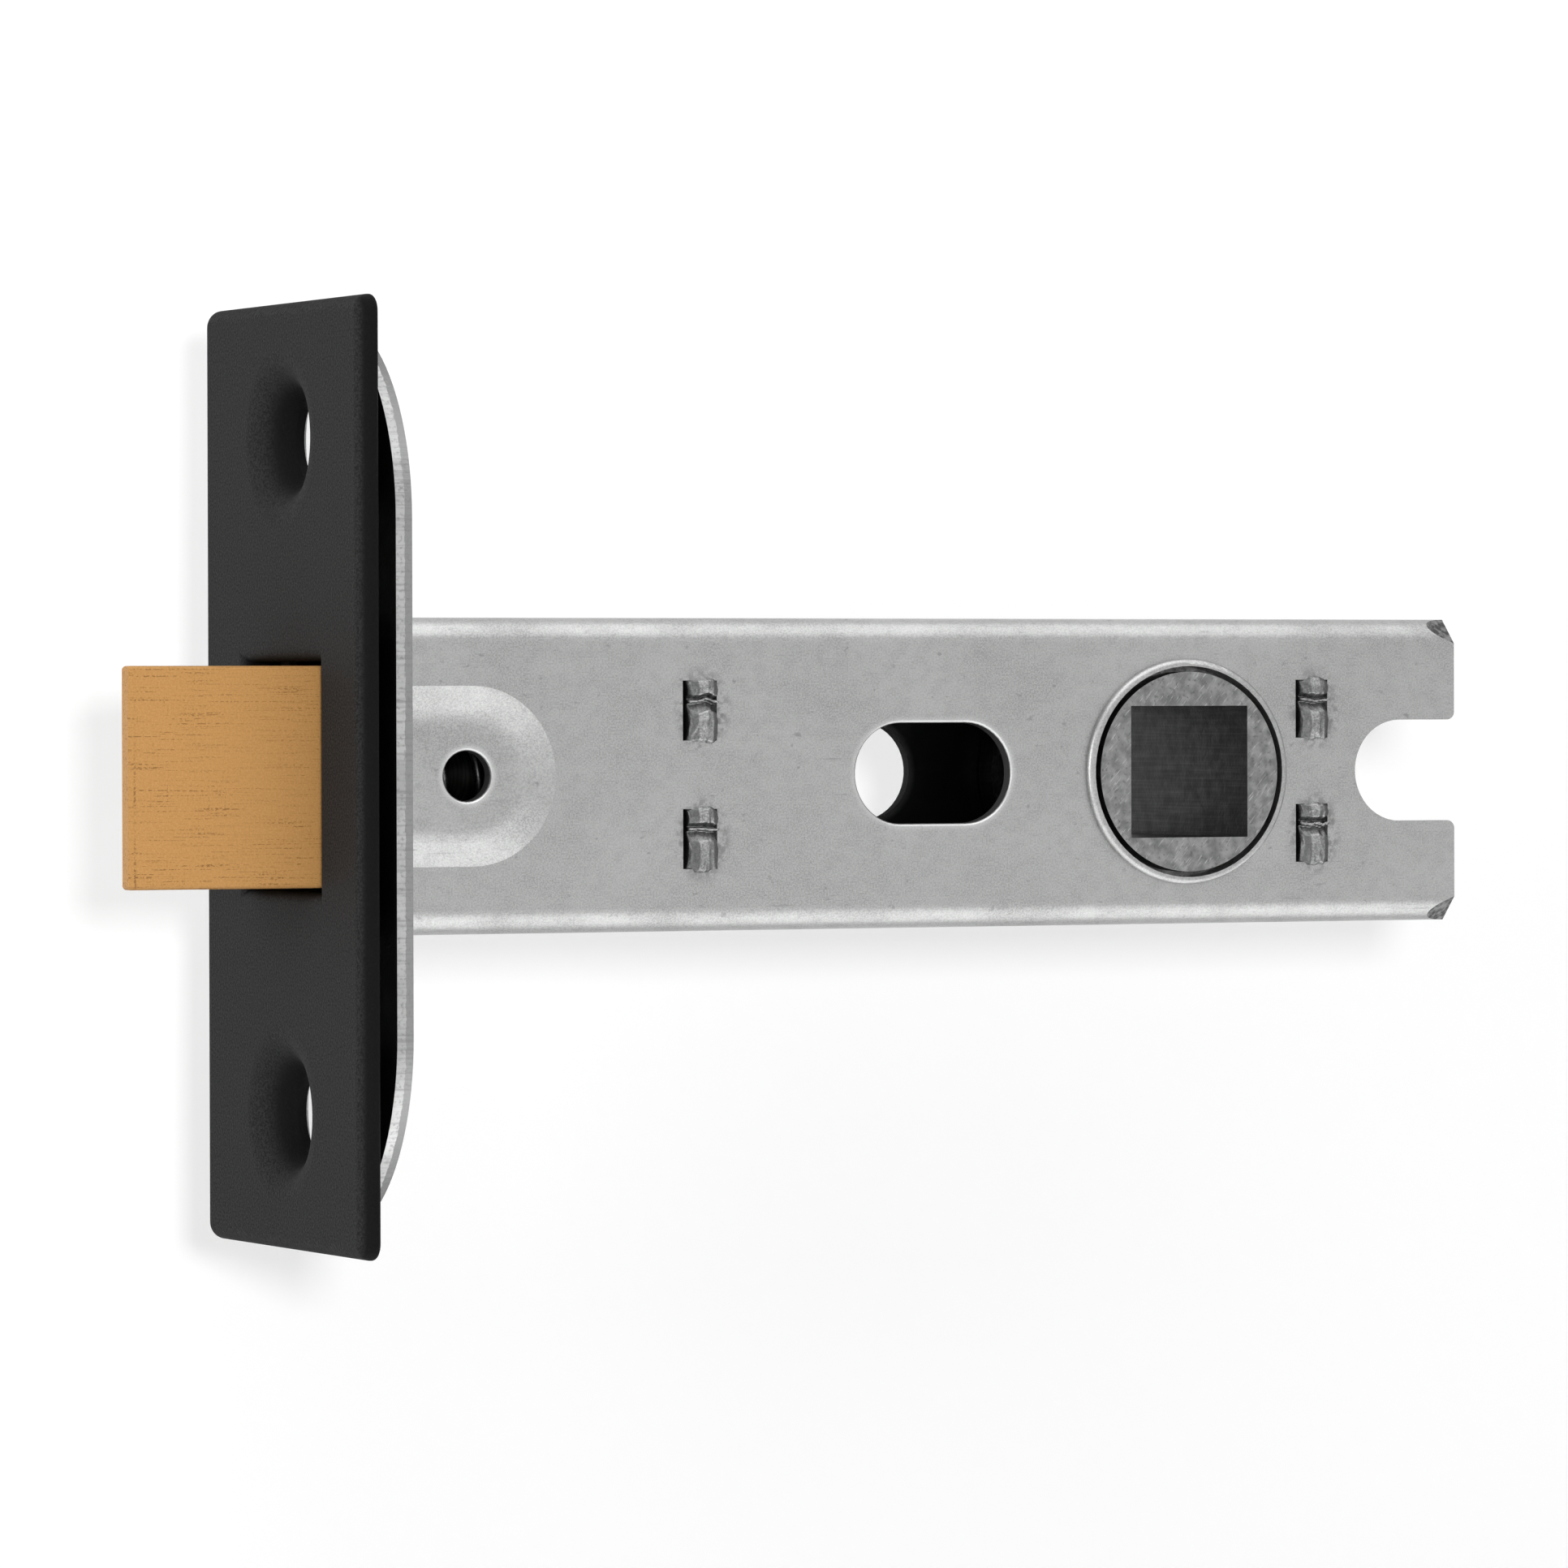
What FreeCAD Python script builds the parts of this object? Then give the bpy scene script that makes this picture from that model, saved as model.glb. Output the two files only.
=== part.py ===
import FreeCAD
import Part
import Sketcher
import math
import os
import re

# A tubular door latch: a sprung brass bolt in a folded steel case that is let into a door's edge.
# The origin is the centre of the faceplate's front. +X runs into the door, +Z is up the door's edge,
# and the bolt's bevel is on the +Y side. All sizes are in millimetres.

SIZES = {
    # Faceplate
    "face_width": 25.0,
    "face_height": 56.4,
    "face_gauge": 1.25,
    "face_corner": 1.05,
    "face_edge_round": 0.95,
    "face_back_round": 0.28,
    "aperture_roll": 0.7,
    # Inner forend
    "forend_setback": 2.42,
    "forend_width": 24.2,
    "forend_length": 54.6,
    "forend_gauge": 1.03,
    # Wood screw holes
    "screw_spacing": 40.2,
    "screw_hole": 5.2,
    "dimple_mouth": 10.8,
    "dimple_depth": 2.1,
    "dimple_wall": 0.55,
    "dimple_nest": 8.6,
    # Case
    "latch_length": 76.0,
    "case_depth": 15.0,
    "case_height": 18.8,
    "case_gauge": 0.9,
    "case_bend": 1.45,
    "lead_length": 1.7,
    "lead_depth": 0.45,
    "lead_tilt": 45.0,
    "seam_gap": 0.1,
    "tongue_front": 48.0,
    "tongue_length": 3.4,
    "tongue_reach": 1.0,
    "tongue_clearance": 0.25,
    "stake_inset": 1.5,
    "stake_width": 3.5,
    "stake_head": 0.3,
    "stake_clearance": 0.05,
    # Pressed guide for the bolt
    "guide_end": 14.6,
    "guide_height": 10.7,
    "guide_hole": 3.0,
    "guide_clearance": 0.12,
    "guide_slope": 66.0,
    "guide_round": 3.0,
    "guide_wall": 0.72,
    "hole_rim": 0.2,
    # Fixing slot and notch
    "slot_front": 34.4,
    "slot_length": 10.5,
    "slot_width": 6.1,
    "slot_rim": 0.2,
    "notch_front": 68.9,
    "notch_width": 6.3,
    "notch_corner": 0.5,
    # Bridges
    "front_bridge_place": 23.3,
    "rear_bridge_place": 65.1,
    "bridge_gauge": 1.8,
    "bridge_height": 11.6,
    "bridge_clearance": 0.05,
    "tab_spacing": 7.7,
    "tab_height": 3.5,
    "tab_proud": 0.15,
    "tab_slack": 0.4,
    "tab_split": 1.1,
    "tab_ridge": 0.2,
    "tab_facet": 0.5,
    # Latch bolt
    "bolt_depth": 11.2,
    "bolt_height": 13.1,
    "bolt_throw": 11.8,
    "bolt_tail": 6.4,
    "bolt_nose": 1.0,
    "bolt_edge": 0.25,
    "bolt_clearance": 0.3,
    "bevel_bulge": 0.9,
    # Stirrup
    "stirrup_gauge": 1.2,
    "stirrup_width": 8.4,
    "stirrup_gap": 12.3,
    "stirrup_bend": 1.6,
    "window_length": 4.0,
    "window_bar": 3.0,
    "rivet_spacing": 9.2,
    "rivet_shank": 1.6,
    "rivet_depth": 4.0,
    "rivet_head": 2.3,
    "rivet_head_rise": 0.6,
    # Spring and its guide pin
    "spring_bore": 6.6,
    "bore_depth": 7.6,
    "spring_outside": 6.0,
    "spring_wire": 0.5,
    "spring_turns": 11.0,
    "pin_shank": 3.2,
    "pin_reach": 13.0,
    "pin_spigot": 2.2,
    "pin_fit": 0.03,
    "pin_head": 3.8,
    "pin_head_rise": 0.8,
    # Follower
    "backset": 57.0,
    "follower_boss": 12.3,
    "follower_drum": 11.7,
    "follower_flange": 14.6,
    "flange_inset": 4.6,
    "follower_clearance": 0.35,
    "follower_square": 8.1,
    "lip_width": 0.45,
    "lip_rise": 0.45,
    "lip_round": 0.32,
    "horn_radius": 8.4,
    "horn_width": 3.2,
    "horn_lead": 40.0,
    "horn_spread": 14.0,
    "horn_undercut": 12.0,
    "horn_clearance": 0.35,
    "lost_motion": 0.5,
}

doc = FreeCAD.newDocument("TubularLatch")
sheet = doc.addObject("Spreadsheet::Sheet", "Sizes")
for row, (alias, value) in enumerate(SIZES.items(), start=1):
    sheet.set(f"A{row}", alias)
    sheet.set(f"B{row}", str(value))
    sheet.setAlias(f"B{row}", alias)


def derive(alias, formula):
    """Adds a cell that is worked out from the driving sizes."""
    row = derive.next_row
    derive.next_row += 1
    sheet.set(f"A{row}", alias)
    sheet.set(f"B{row}", f"={formula}")
    sheet.setAlias(f"B{row}", alias)


derive.next_row = len(SIZES) + 1
derive("forend_back", "forend_setback + forend_gauge")
derive("case_side", "case_depth / 2")
derive("case_inside", "case_side - case_gauge")
derive("case_top", "case_height / 2")
derive("case_ceiling", "case_top - case_gauge")
derive("bend_inside", "case_bend - case_gauge")
derive("lead_crest", "(case_side + case_top - 2 * case_bend) / sqrt(2) + case_bend")
derive("bolt_side", "bolt_depth / 2")
derive("bolt_top", "bolt_height / 2")
derive("aperture_side", "bolt_side + bolt_clearance")
derive("aperture_top", "bolt_top + bolt_clearance")
derive("collar_side", "aperture_side + face_gauge")
derive("collar_top", "aperture_top + face_gauge")
derive("bevel_run", "bolt_throw - bolt_clearance")
derive("bevel_rise", "bolt_depth - bolt_nose")
derive("bevel_chord", "sqrt(bevel_run * bevel_run + bevel_rise * bevel_rise)")
derive("bevel_radius", "(bevel_chord * bevel_chord / 4 + bevel_bulge * bevel_bulge) / (2 * bevel_bulge)")
derive("bevel_reach", "(bevel_radius - bevel_bulge) / bevel_chord")
derive("guide_floor", "bolt_side + guide_clearance")
derive("guide_top", "guide_height / 2")
derive("guide_centre", "guide_end - guide_top")
derive("slot_top", "slot_width / 2")
derive("slot_back", "slot_front + slot_length")
derive("notch_top", "notch_width / 2")
derive("screw_height", "screw_spacing / 2")
derive("dimple_run", "(dimple_mouth - screw_hole) / 2")
derive("dimple_curve", "(dimple_depth * dimple_depth + dimple_run * dimple_run) / (2 * dimple_depth)")
derive("dimple_edge", "screw_height + dimple_mouth / 2")
derive("hole_edge", "screw_height + screw_hole / 2")
derive("follower_hole", "follower_boss + 2 * follower_clearance")
derive("follower_end", "case_side + lip_rise")
derive("tab_low", "(tab_spacing - tab_height) / 2")
derive("tab_high", "(tab_spacing + tab_height) / 2")
derive("tab_end", "case_side + tab_proud")
derive("arm_inside", "stirrup_gap / 2")
derive("arm_outside", "arm_inside + stirrup_gauge")
derive("web_back", "bolt_tail + stirrup_gauge")
derive("bar_front", "backset - horn_radius * sin(horn_lead * 1 deg) + lost_motion")
derive("bar_back", "bar_front + window_bar")
derive("window_side", "horn_width / 2 + horn_clearance")
derive("spring_seat", "bolt_tail - bore_depth")
derive("spring_free", "front_bridge_place - spring_seat")
derive("spring_pitch", "(spring_free - spring_wire) / spring_turns")
doc.recompute()


def size(formula):
    """The value of a formula written with the sheet's names."""
    return float(sheet.evalExpression(formula))


sheet_names = {sheet.getContents(f"A{row}").lstrip("'") for row in range(1, derive.next_row)}


def cell(formula):
    """The same formula, written so that an object outside the sheet can use it."""

    def spell(word):
        return f"Sizes.{word.group()}" if word.group() in sheet_names else word.group()

    return re.sub(r"[a-z_]+", spell, formula)


def new_body(label):
    body = doc.addObject("PartDesign::Body", label)
    body.Label = label
    return body


def new_sketch(body, name, plane, offset="0", tilt="0"):
    """A sketch on one of the body's origin planes, moved along its normal and tilted about its first axis."""
    sketch = body.newObject("Sketcher::SketchObject", name)
    support = next(item for item in body.Origin.OriginFeatures if item.Role == plane)
    sketch.AttachmentSupport = (support, "")
    sketch.MapMode = "FlatFace"
    if offset != "0":
        sketch.setExpression("AttachmentOffset.Base.z", cell(offset))
    if tilt != "0":
        lean = FreeCAD.Rotation(FreeCAD.Vector(1, 0, 0), size(tilt))
        sketch.AttachmentOffset = FreeCAD.Placement(FreeCAD.Vector(), lean)
        sketch.setExpression("AttachmentOffset.Rotation.Angle", cell(f"{tilt} * 1 deg"))
    return sketch


def pin_point(sketch, geometry, place, across, along):
    """Holds one point of a sketch at a place worked out from the sheet."""
    for kind, axis, formula in (("DistanceX", -2, across), ("DistanceY", -1, along)):
        if formula == "0":
            sketch.addConstraint(Sketcher.Constraint("PointOnObject", geometry, place, axis))
        else:
            index = sketch.addConstraint(Sketcher.Constraint(kind, -1, 1, geometry, place, size(formula)))
            sketch.setExpression(f"Constraints[{index}]", cell(formula))


def outline(sketch, corners):
    """A closed outline. A corner is (across, along), or (across, along, turn, centre across, centre along)
    where the stretch after it is an arc that turns ccw or cw about that centre."""
    places = [FreeCAD.Vector(size(c[0]), size(c[1]), 0) for c in corners]
    count = len(corners)
    ends = []
    for index, corner in enumerate(corners):
        start = places[index]
        finish = places[(index + 1) % count]
        if len(corner) == 2:
            geometry = sketch.addGeometry(Part.LineSegment(start, finish))
            ends.append((geometry, 1, 2))
            continue
        centre = FreeCAD.Vector(size(corner[3]), size(corner[4]), 0)
        circle = Part.Circle(centre, FreeCAD.Vector(0, 0, 1), (start - centre).Length)
        from_angle = math.atan2(start.y - centre.y, start.x - centre.x)
        to_angle = math.atan2(finish.y - centre.y, finish.x - centre.x)
        if corner[2] == "ccw":
            geometry = sketch.addGeometry(Part.ArcOfCircle(circle, from_angle, to_angle))
            ends.append((geometry, 1, 2))
        else:
            geometry = sketch.addGeometry(Part.ArcOfCircle(circle, to_angle, from_angle))
            ends.append((geometry, 2, 1))
    for index in range(count):
        before = ends[index - 1]
        here = ends[index]
        sketch.addConstraint(Sketcher.Constraint("Coincident", before[0], before[2], here[0], here[1]))
    for index, corner in enumerate(corners):
        pin_point(sketch, ends[index][0], ends[index][1], corner[0], corner[1])
        if len(corner) > 2:
            chord = places[(index + 1) % count] - places[index]
            if abs(chord.y) >= abs(chord.x):
                hold_centre(sketch, ends[index][0], "DistanceX", corner[3])
            else:
                hold_centre(sketch, ends[index][0], "DistanceY", corner[4])


def hold_centre(sketch, geometry, kind, formula):
    """Holds an arc's centre across or along the sketch, which is all that its two ends leave open."""
    if formula == "0":
        axis = -2 if kind == "DistanceX" else -1
        sketch.addConstraint(Sketcher.Constraint("PointOnObject", geometry, 3, axis))
        return
    index = sketch.addConstraint(Sketcher.Constraint(kind, -1, 1, geometry, 3, size(formula)))
    sketch.setExpression(f"Constraints[{index}]", cell(formula))


def rectangle(sketch, left, right, bottom, top):
    outline(sketch, [(left, bottom), (right, bottom), (right, top), (left, top)])


def circle(sketch, across, along, diameter):
    centre = FreeCAD.Vector(size(across), size(along), 0)
    geometry = sketch.addGeometry(Part.Circle(centre, FreeCAD.Vector(0, 0, 1), size(diameter) / 2))
    pin_point(sketch, geometry, 3, across, along)
    index = sketch.addConstraint(Sketcher.Constraint("Diameter", geometry, size(diameter)))
    sketch.setExpression(f"Constraints[{index}]", cell(diameter))


def pad(body, sketch, length, both_ways=False, backwards=False):
    feature = body.newObject("PartDesign::Pad", f"{sketch.Name}_pad")
    return set_length(feature, sketch, length, both_ways, backwards)


def pocket(body, sketch, length, both_ways=False, backwards=False):
    doc.recompute()
    before = body.Shape.Volume
    feature = body.newObject("PartDesign::Pocket", f"{sketch.Name}_pocket")
    set_length(feature, sketch, length, both_ways, backwards)
    doc.recompute()
    if body.Shape.Volume >= before:
        raise ValueError(f"{feature.Name} cuts nothing")
    return feature


def set_length(feature, sketch, length, both_ways, backwards):
    feature.Profile = sketch
    feature.Type = "Length"
    feature.SideType = "Symmetric" if both_ways else "One side"
    feature.Reversed = backwards
    feature.setExpression("Length", cell(length))
    sketch.Visibility = False
    return feature


def turned(body, sketch, kind="PartDesign::Revolution"):
    """A full turn of a sketch about its own first construction line."""
    feature = body.newObject(kind, f"{sketch.Name}_turn")
    feature.Profile = sketch
    feature.ReferenceAxis = (sketch, ["Axis0"])
    feature.Angle = 360.0
    return feature


def turning_axis(sketch, along):
    """A construction line across the sketch, which a revolved profile turns about."""
    level = size(along)
    axis = Part.LineSegment(FreeCAD.Vector(0, level, 0), FreeCAD.Vector(1, level, 0))
    geometry = sketch.addGeometry(axis, True)
    pin_point(sketch, geometry, 1, "0", along)
    sketch.addConstraint(Sketcher.Constraint("Horizontal", geometry))
    sketch.addConstraint(Sketcher.Constraint("DistanceX", geometry, 1, geometry, 2, 1.0))


def mirrored(body, feature, plane):
    """The same feature again on the other side of one of the body's origin planes."""
    copy = body.newObject("PartDesign::Mirrored", f"{feature.Name}_mirror")
    copy.Originals = [feature]
    support = next(item for item in body.Origin.OriginFeatures if item.Role == plane)
    copy.MirrorPlane = (support, [""])
    body.Tip = copy
    return copy


def edges_where(shape, test):
    return [f"Edge{index}" for index, edge in enumerate(shape.Edges, start=1) if test(edge)]


def soften(body, kind, amount, test):
    """Rounds or chamfers the edges of the finished body that pass a test."""
    doc.recompute()
    base = body.Tip
    chosen = edges_where(base.Shape, test)
    if not chosen:
        raise ValueError(f"{body.Label} has no edge to soften")
    feature = body.newObject(f"PartDesign::{kind}", f"{body.Name}_{kind.lower()}_{len(body.Group)}")
    feature.Base = (base, chosen)
    feature.setExpression("Radius" if kind == "Fillet" else "Size", cell(amount))
    return feature


def lies_at(edge, axis, formula):
    """True where the whole edge lies at one place along an axis."""
    box = edge.BoundBox
    low = getattr(box, f"{axis}Min")
    high = getattr(box, f"{axis}Max")
    place = size(formula)
    return abs(low - place) < 1e-4 and abs(high - place) < 1e-4


# Faceplate: one pressed sheet with soft edges, two drawn screw dimples and an inward collar round the bolt
def make_faceplate():
    body = new_body("faceplate")
    plate = new_sketch(body, "face_outline", "YZ_Plane")
    side = "face_width / 2"
    top = "face_height / 2"
    inner_side = "face_width / 2 - face_corner"
    inner_top = "face_height / 2 - face_corner"
    outline(plate, [
        (f"-({inner_side})", f"-({top})"),
        (inner_side, f"-({top})", "ccw", inner_side, f"-({inner_top})"),
        (side, f"-({inner_top})"),
        (side, inner_top, "ccw", inner_side, inner_top),
        (inner_side, top),
        (f"-({inner_side})", top, "ccw", f"-({inner_side})", inner_top),
        (f"-({side})", inner_top),
        (f"-({side})", f"-({inner_top})", "ccw", f"-({inner_side})", f"-({inner_top})"),
    ])
    pad(body, plate, "face_gauge")
    soften(body, "Fillet", "face_edge_round", lambda edge: lies_at(edge, "X", "0"))
    soften(body, "Fillet", "face_back_round", lambda edge: lies_at(edge, "X", "face_gauge"))
    collar = new_sketch(body, "face_collar", "YZ_Plane")
    rectangle(collar, "-collar_side", "collar_side", "-collar_top", "collar_top")
    pad(body, collar, "forend_setback")
    dimple = new_sketch(body, "face_dimple", "XZ_Plane")
    turning_axis(dimple, "screw_height")
    floor = "dimple_depth + dimple_wall"
    outline(dimple, [
        ("0", "screw_height"),
        (floor, "screw_height"),
        (floor, "hole_edge + face_gauge / 2"),
        ("face_gauge", "dimple_edge"),
        ("0", "dimple_edge"),
    ])
    mirrored(body, turned(body, dimple), "XY_Plane")
    sink = new_sketch(body, "face_sink", "XZ_Plane")
    turning_axis(sink, "screw_height")
    past = "dimple_depth + 2 * dimple_wall"
    outline(sink, [
        ("-face_gauge", "screw_height"),
        (past, "screw_height"),
        (past, "hole_edge"),
        ("dimple_depth", "hole_edge", "cw", "dimple_curve", "dimple_edge"),
        ("0", "dimple_edge"),
        ("-face_gauge", "dimple_edge"),
    ])
    mirrored(body, turned(body, sink, "PartDesign::Groove"), "XY_Plane")
    aperture = new_sketch(body, "face_aperture", "YZ_Plane")
    rectangle(aperture, "-aperture_side", "aperture_side", "-aperture_top", "aperture_top")
    pocket(body, aperture, "4 * forend_setback", both_ways=True)
    soften(body, "Fillet", "aperture_roll", lambda edge: (
        lies_at(edge, "X", "0")
        and edge.BoundBox.ZMax < size("collar_top") and edge.BoundBox.ZMin > -size("collar_top")))
    return body


# Inner forend: a thick blanked plate with round ends, staked to the case, which the screws clamp to the door
def make_inner_forend():
    body = new_body("inner_forend")
    plate = new_sketch(body, "forend_outline", "YZ_Plane", "forend_setback")
    side = "forend_width / 2"
    bend = "(forend_length - forend_width) / 2"
    outline(plate, [
        (side, f"-({bend})"),
        (side, bend, "ccw", "0", bend),
        (f"-({side})", bend),
        (f"-({side})", f"-({bend})", "ccw", "0", f"-({bend})"),
    ])
    pad(body, plate, "forend_gauge")
    holes = new_sketch(body, "forend_holes", "YZ_Plane", "forend_setback")
    rectangle(holes, "-aperture_side", "aperture_side", "-aperture_top", "aperture_top")
    circle(holes, "0", "screw_height", "dimple_nest")
    circle(holes, "0", "-screw_height", "dimple_nest")
    near = "stake_inset - stake_clearance"
    far = "stake_inset + stake_width + stake_clearance"
    low = "case_ceiling - stake_clearance"
    high = "case_top + stake_clearance"
    rectangle(holes, near, far, low, high)
    rectangle(holes, near, far, f"-({high})", f"-({low})")
    rectangle(holes, f"-({far})", f"-({near})", low, high)
    rectangle(holes, f"-({far})", f"-({near})", f"-({high})", f"-({low})")
    pocket(body, holes, "4 * forend_gauge", both_ways=True)
    return body


def slot_outline(sketch, front, back, top):
    """A long hole with round ends, level with the latch's axis."""
    outline(sketch, [
        (f"{front} + {top}", f"-{top}"),
        (f"{back} - {top}", f"-{top}", "ccw", f"{back} - {top}", "0"),
        (f"{back} - {top}", top),
        (f"{front} + {top}", top, "ccw", f"{front} + {top}", "0"),
    ])


def guide_outline(sketch, front, margin):
    """The D of the pressed bolt guide: straight from the forend, with a round rear end."""
    top = f"(guide_top + {margin})"
    outline(sketch, [
        (front, f"-{top}"),
        ("guide_centre", f"-{top}", "ccw", "guide_centre", "0"),
        ("guide_centre", top),
        (front, top),
    ])


# Case half: a sheet folded to a channel, with the bolt guide pressed in and the follower's bearing pressed
# out. The near half has side -1 and the far half has side 1.
def make_case_half(label, side):
    body = new_body(label)
    near = side < 0
    sign = "-" if near else ""
    tag = "near" if near else "far"
    channel = new_sketch(body, f"{tag}_channel", "YZ_Plane", "forend_back")
    outer = f"{sign}case_side"
    inner = f"{sign}case_inside"
    seam = f"{sign}seam_gap / 2"
    bend_at = f"{sign}(case_side - case_bend)"
    bend_top = "(case_top - case_bend)"
    out_turn = "cw" if near else "ccw"
    in_turn = "ccw" if near else "cw"
    outline(channel, [
        (seam, "-case_top"),
        (bend_at, "-case_top", out_turn, bend_at, f"-{bend_top}"),
        (outer, f"-{bend_top}"),
        (outer, bend_top, out_turn, bend_at, bend_top),
        (bend_at, "case_top"),
        (seam, "case_top"),
        (seam, "case_ceiling"),
        (bend_at, "case_ceiling", in_turn, bend_at, bend_top),
        (inner, bend_top),
        (inner, f"-{bend_top}", in_turn, bend_at, f"-{bend_top}"),
        (bend_at, "-case_ceiling"),
        (seam, "-case_ceiling"),
    ])
    pad(body, channel, "latch_length - forend_back")
    # The normal of the sketch plane is -Y, so a plane on the near side lies at a positive offset.
    toward = "" if near else "-"
    boss = new_sketch(body, f"{tag}_guide_boss", "XZ_Plane", f"{toward}guide_floor")
    guide_outline(boss, "forend_back", "guide_wall")
    pad(body, boss, "case_inside - guide_floor", backwards=not near)
    recess = new_sketch(body, f"{tag}_guide_recess", "XZ_Plane", f"{toward}case_side")
    guide_outline(recess, "0", "0")
    press = pocket(body, recess, "case_inside - guide_floor", backwards=not near)
    straight_cut = body.Shape.Volume
    press.setExpression("TaperAngle", cell("-guide_slope * 1 deg"))
    doc.recompute()
    if body.Shape.Volume <= straight_cut:
        raise ValueError(f"{press.Name} widens as it goes in")

    def rims_recess(edge, level):
        """True on the D of the recess at one level, apart from its open front."""
        box = edge.BoundBox
        top = size("guide_top") + 0.01
        inside = box.XMax < size("guide_end") + 0.01 and box.ZMax < top and box.ZMin > -top
        return lies_at(edge, "Y", level) and inside and box.XLength > 0.01

    recess_floor = f"{sign}(guide_floor + case_gauge)"
    soften(body, "Fillet", "guide_round", lambda edge: rims_recess(edge, recess_floor))
    lip = new_sketch(body, f"{tag}_lip", "XZ_Plane", f"{toward}case_side")
    circle(lip, "backset", "0", "follower_hole + 2 * lip_width")
    pad(body, lip, "lip_rise", backwards=not near)
    holes = new_sketch(body, f"{tag}_holes", "XZ_Plane")
    circle(holes, "backset", "0", "follower_hole")
    circle(holes, "guide_centre", "0", "guide_hole")
    slot_outline(holes, "slot_front", "slot_back", "slot_top")
    past_end = "latch_length + notch_width"
    outline(holes, [
        (past_end, "-notch_top"),
        (past_end, "notch_top"),
        ("notch_front + notch_top", "notch_top", "ccw", "notch_front + notch_top", "0"),
        ("notch_front + notch_top", "-notch_top"),
    ])
    for place in ("front_bridge_place", "rear_bridge_place"):
        front = f"{place} - tab_slack"
        back = f"{place} + bridge_gauge + bridge_clearance"
        low = "tab_low - bridge_clearance"
        high = "tab_high + bridge_clearance"
        rectangle(holes, front, back, low, high)
        rectangle(holes, front, back, f"-({high})", f"-({low})")
    pocket(body, holes, "4 * case_depth", both_ways=True)
    stake = new_sketch(body, f"{tag}_stakes", "YZ_Plane", "forend_setback - stake_head")
    stake_near = f"{sign}stake_inset"
    stake_far = f"{sign}(stake_inset + stake_width)"
    rectangle(stake, stake_near, stake_far, "case_ceiling", "case_top")
    rectangle(stake, stake_near, stake_far, "-case_top", "-case_ceiling")
    pad(body, stake, "forend_gauge + stake_head")
    tongue_back = "tongue_front + tongue_length"
    if near:
        rest = new_sketch(body, "near_tongue_rest", "XY_Plane")
        rectangle(rest, "tongue_front", tongue_back, "-tongue_reach - tongue_clearance", "case_gauge")
        pocket(body, rest, "4 * case_height", both_ways=True)
    else:
        tongue = new_sketch(body, "far_tongue", "XY_Plane", "case_ceiling")
        rectangle(tongue, "tongue_front + tongue_clearance", f"{tongue_back} - tongue_clearance",
                  "-tongue_reach", "seam_gap")
        mirrored(body, pad(body, tongue, "case_gauge"), "XY_Plane")
    # The bends are struck flat at the rear end, so that the case finds its way into the bored door.
    lead = new_sketch(body, f"{tag}_lead", "XZ_Plane", tilt="lead_tilt" if near else "-lead_tilt")
    outline(lead, [
        ("latch_length - lead_length", "lead_crest"),
        ("latch_length", "lead_crest - lead_depth"),
        ("latch_length", "lead_crest"),
    ])
    mirrored(body, pocket(body, lead, "4 * case_height", both_ways=True), "XY_Plane")
    soften(body, "Fillet", "hole_rim", lambda edge: (
        lies_at(edge, "Y", recess_floor) and edge.Curve.TypeId == "Part::GeomCircle"
        and abs(edge.Curve.Radius - size("guide_hole / 2")) < 0.01))
    soften(body, "Fillet", "slot_rim", lambda edge: (
        lies_at(edge, "Y", outer) and edge.BoundBox.XMin > size("slot_front") - 0.01
        and edge.BoundBox.XMax < size("slot_back") + 0.01))
    soften(body, "Fillet", "notch_corner", lambda edge: (
        lies_at(edge, "X", "latch_length") and abs(abs(edge.CenterOfMass.z) - size("notch_top")) < 0.01
        and edge.BoundBox.YLength > 0.01))
    lip_face = f"{sign}(case_side + lip_rise)"
    soften(body, "Fillet", "lip_round", lambda edge: (
        lies_at(edge, "Y", lip_face) and edge.BoundBox.ZLength > size("follower_hole") + size("lip_width")))
    return body


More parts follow.
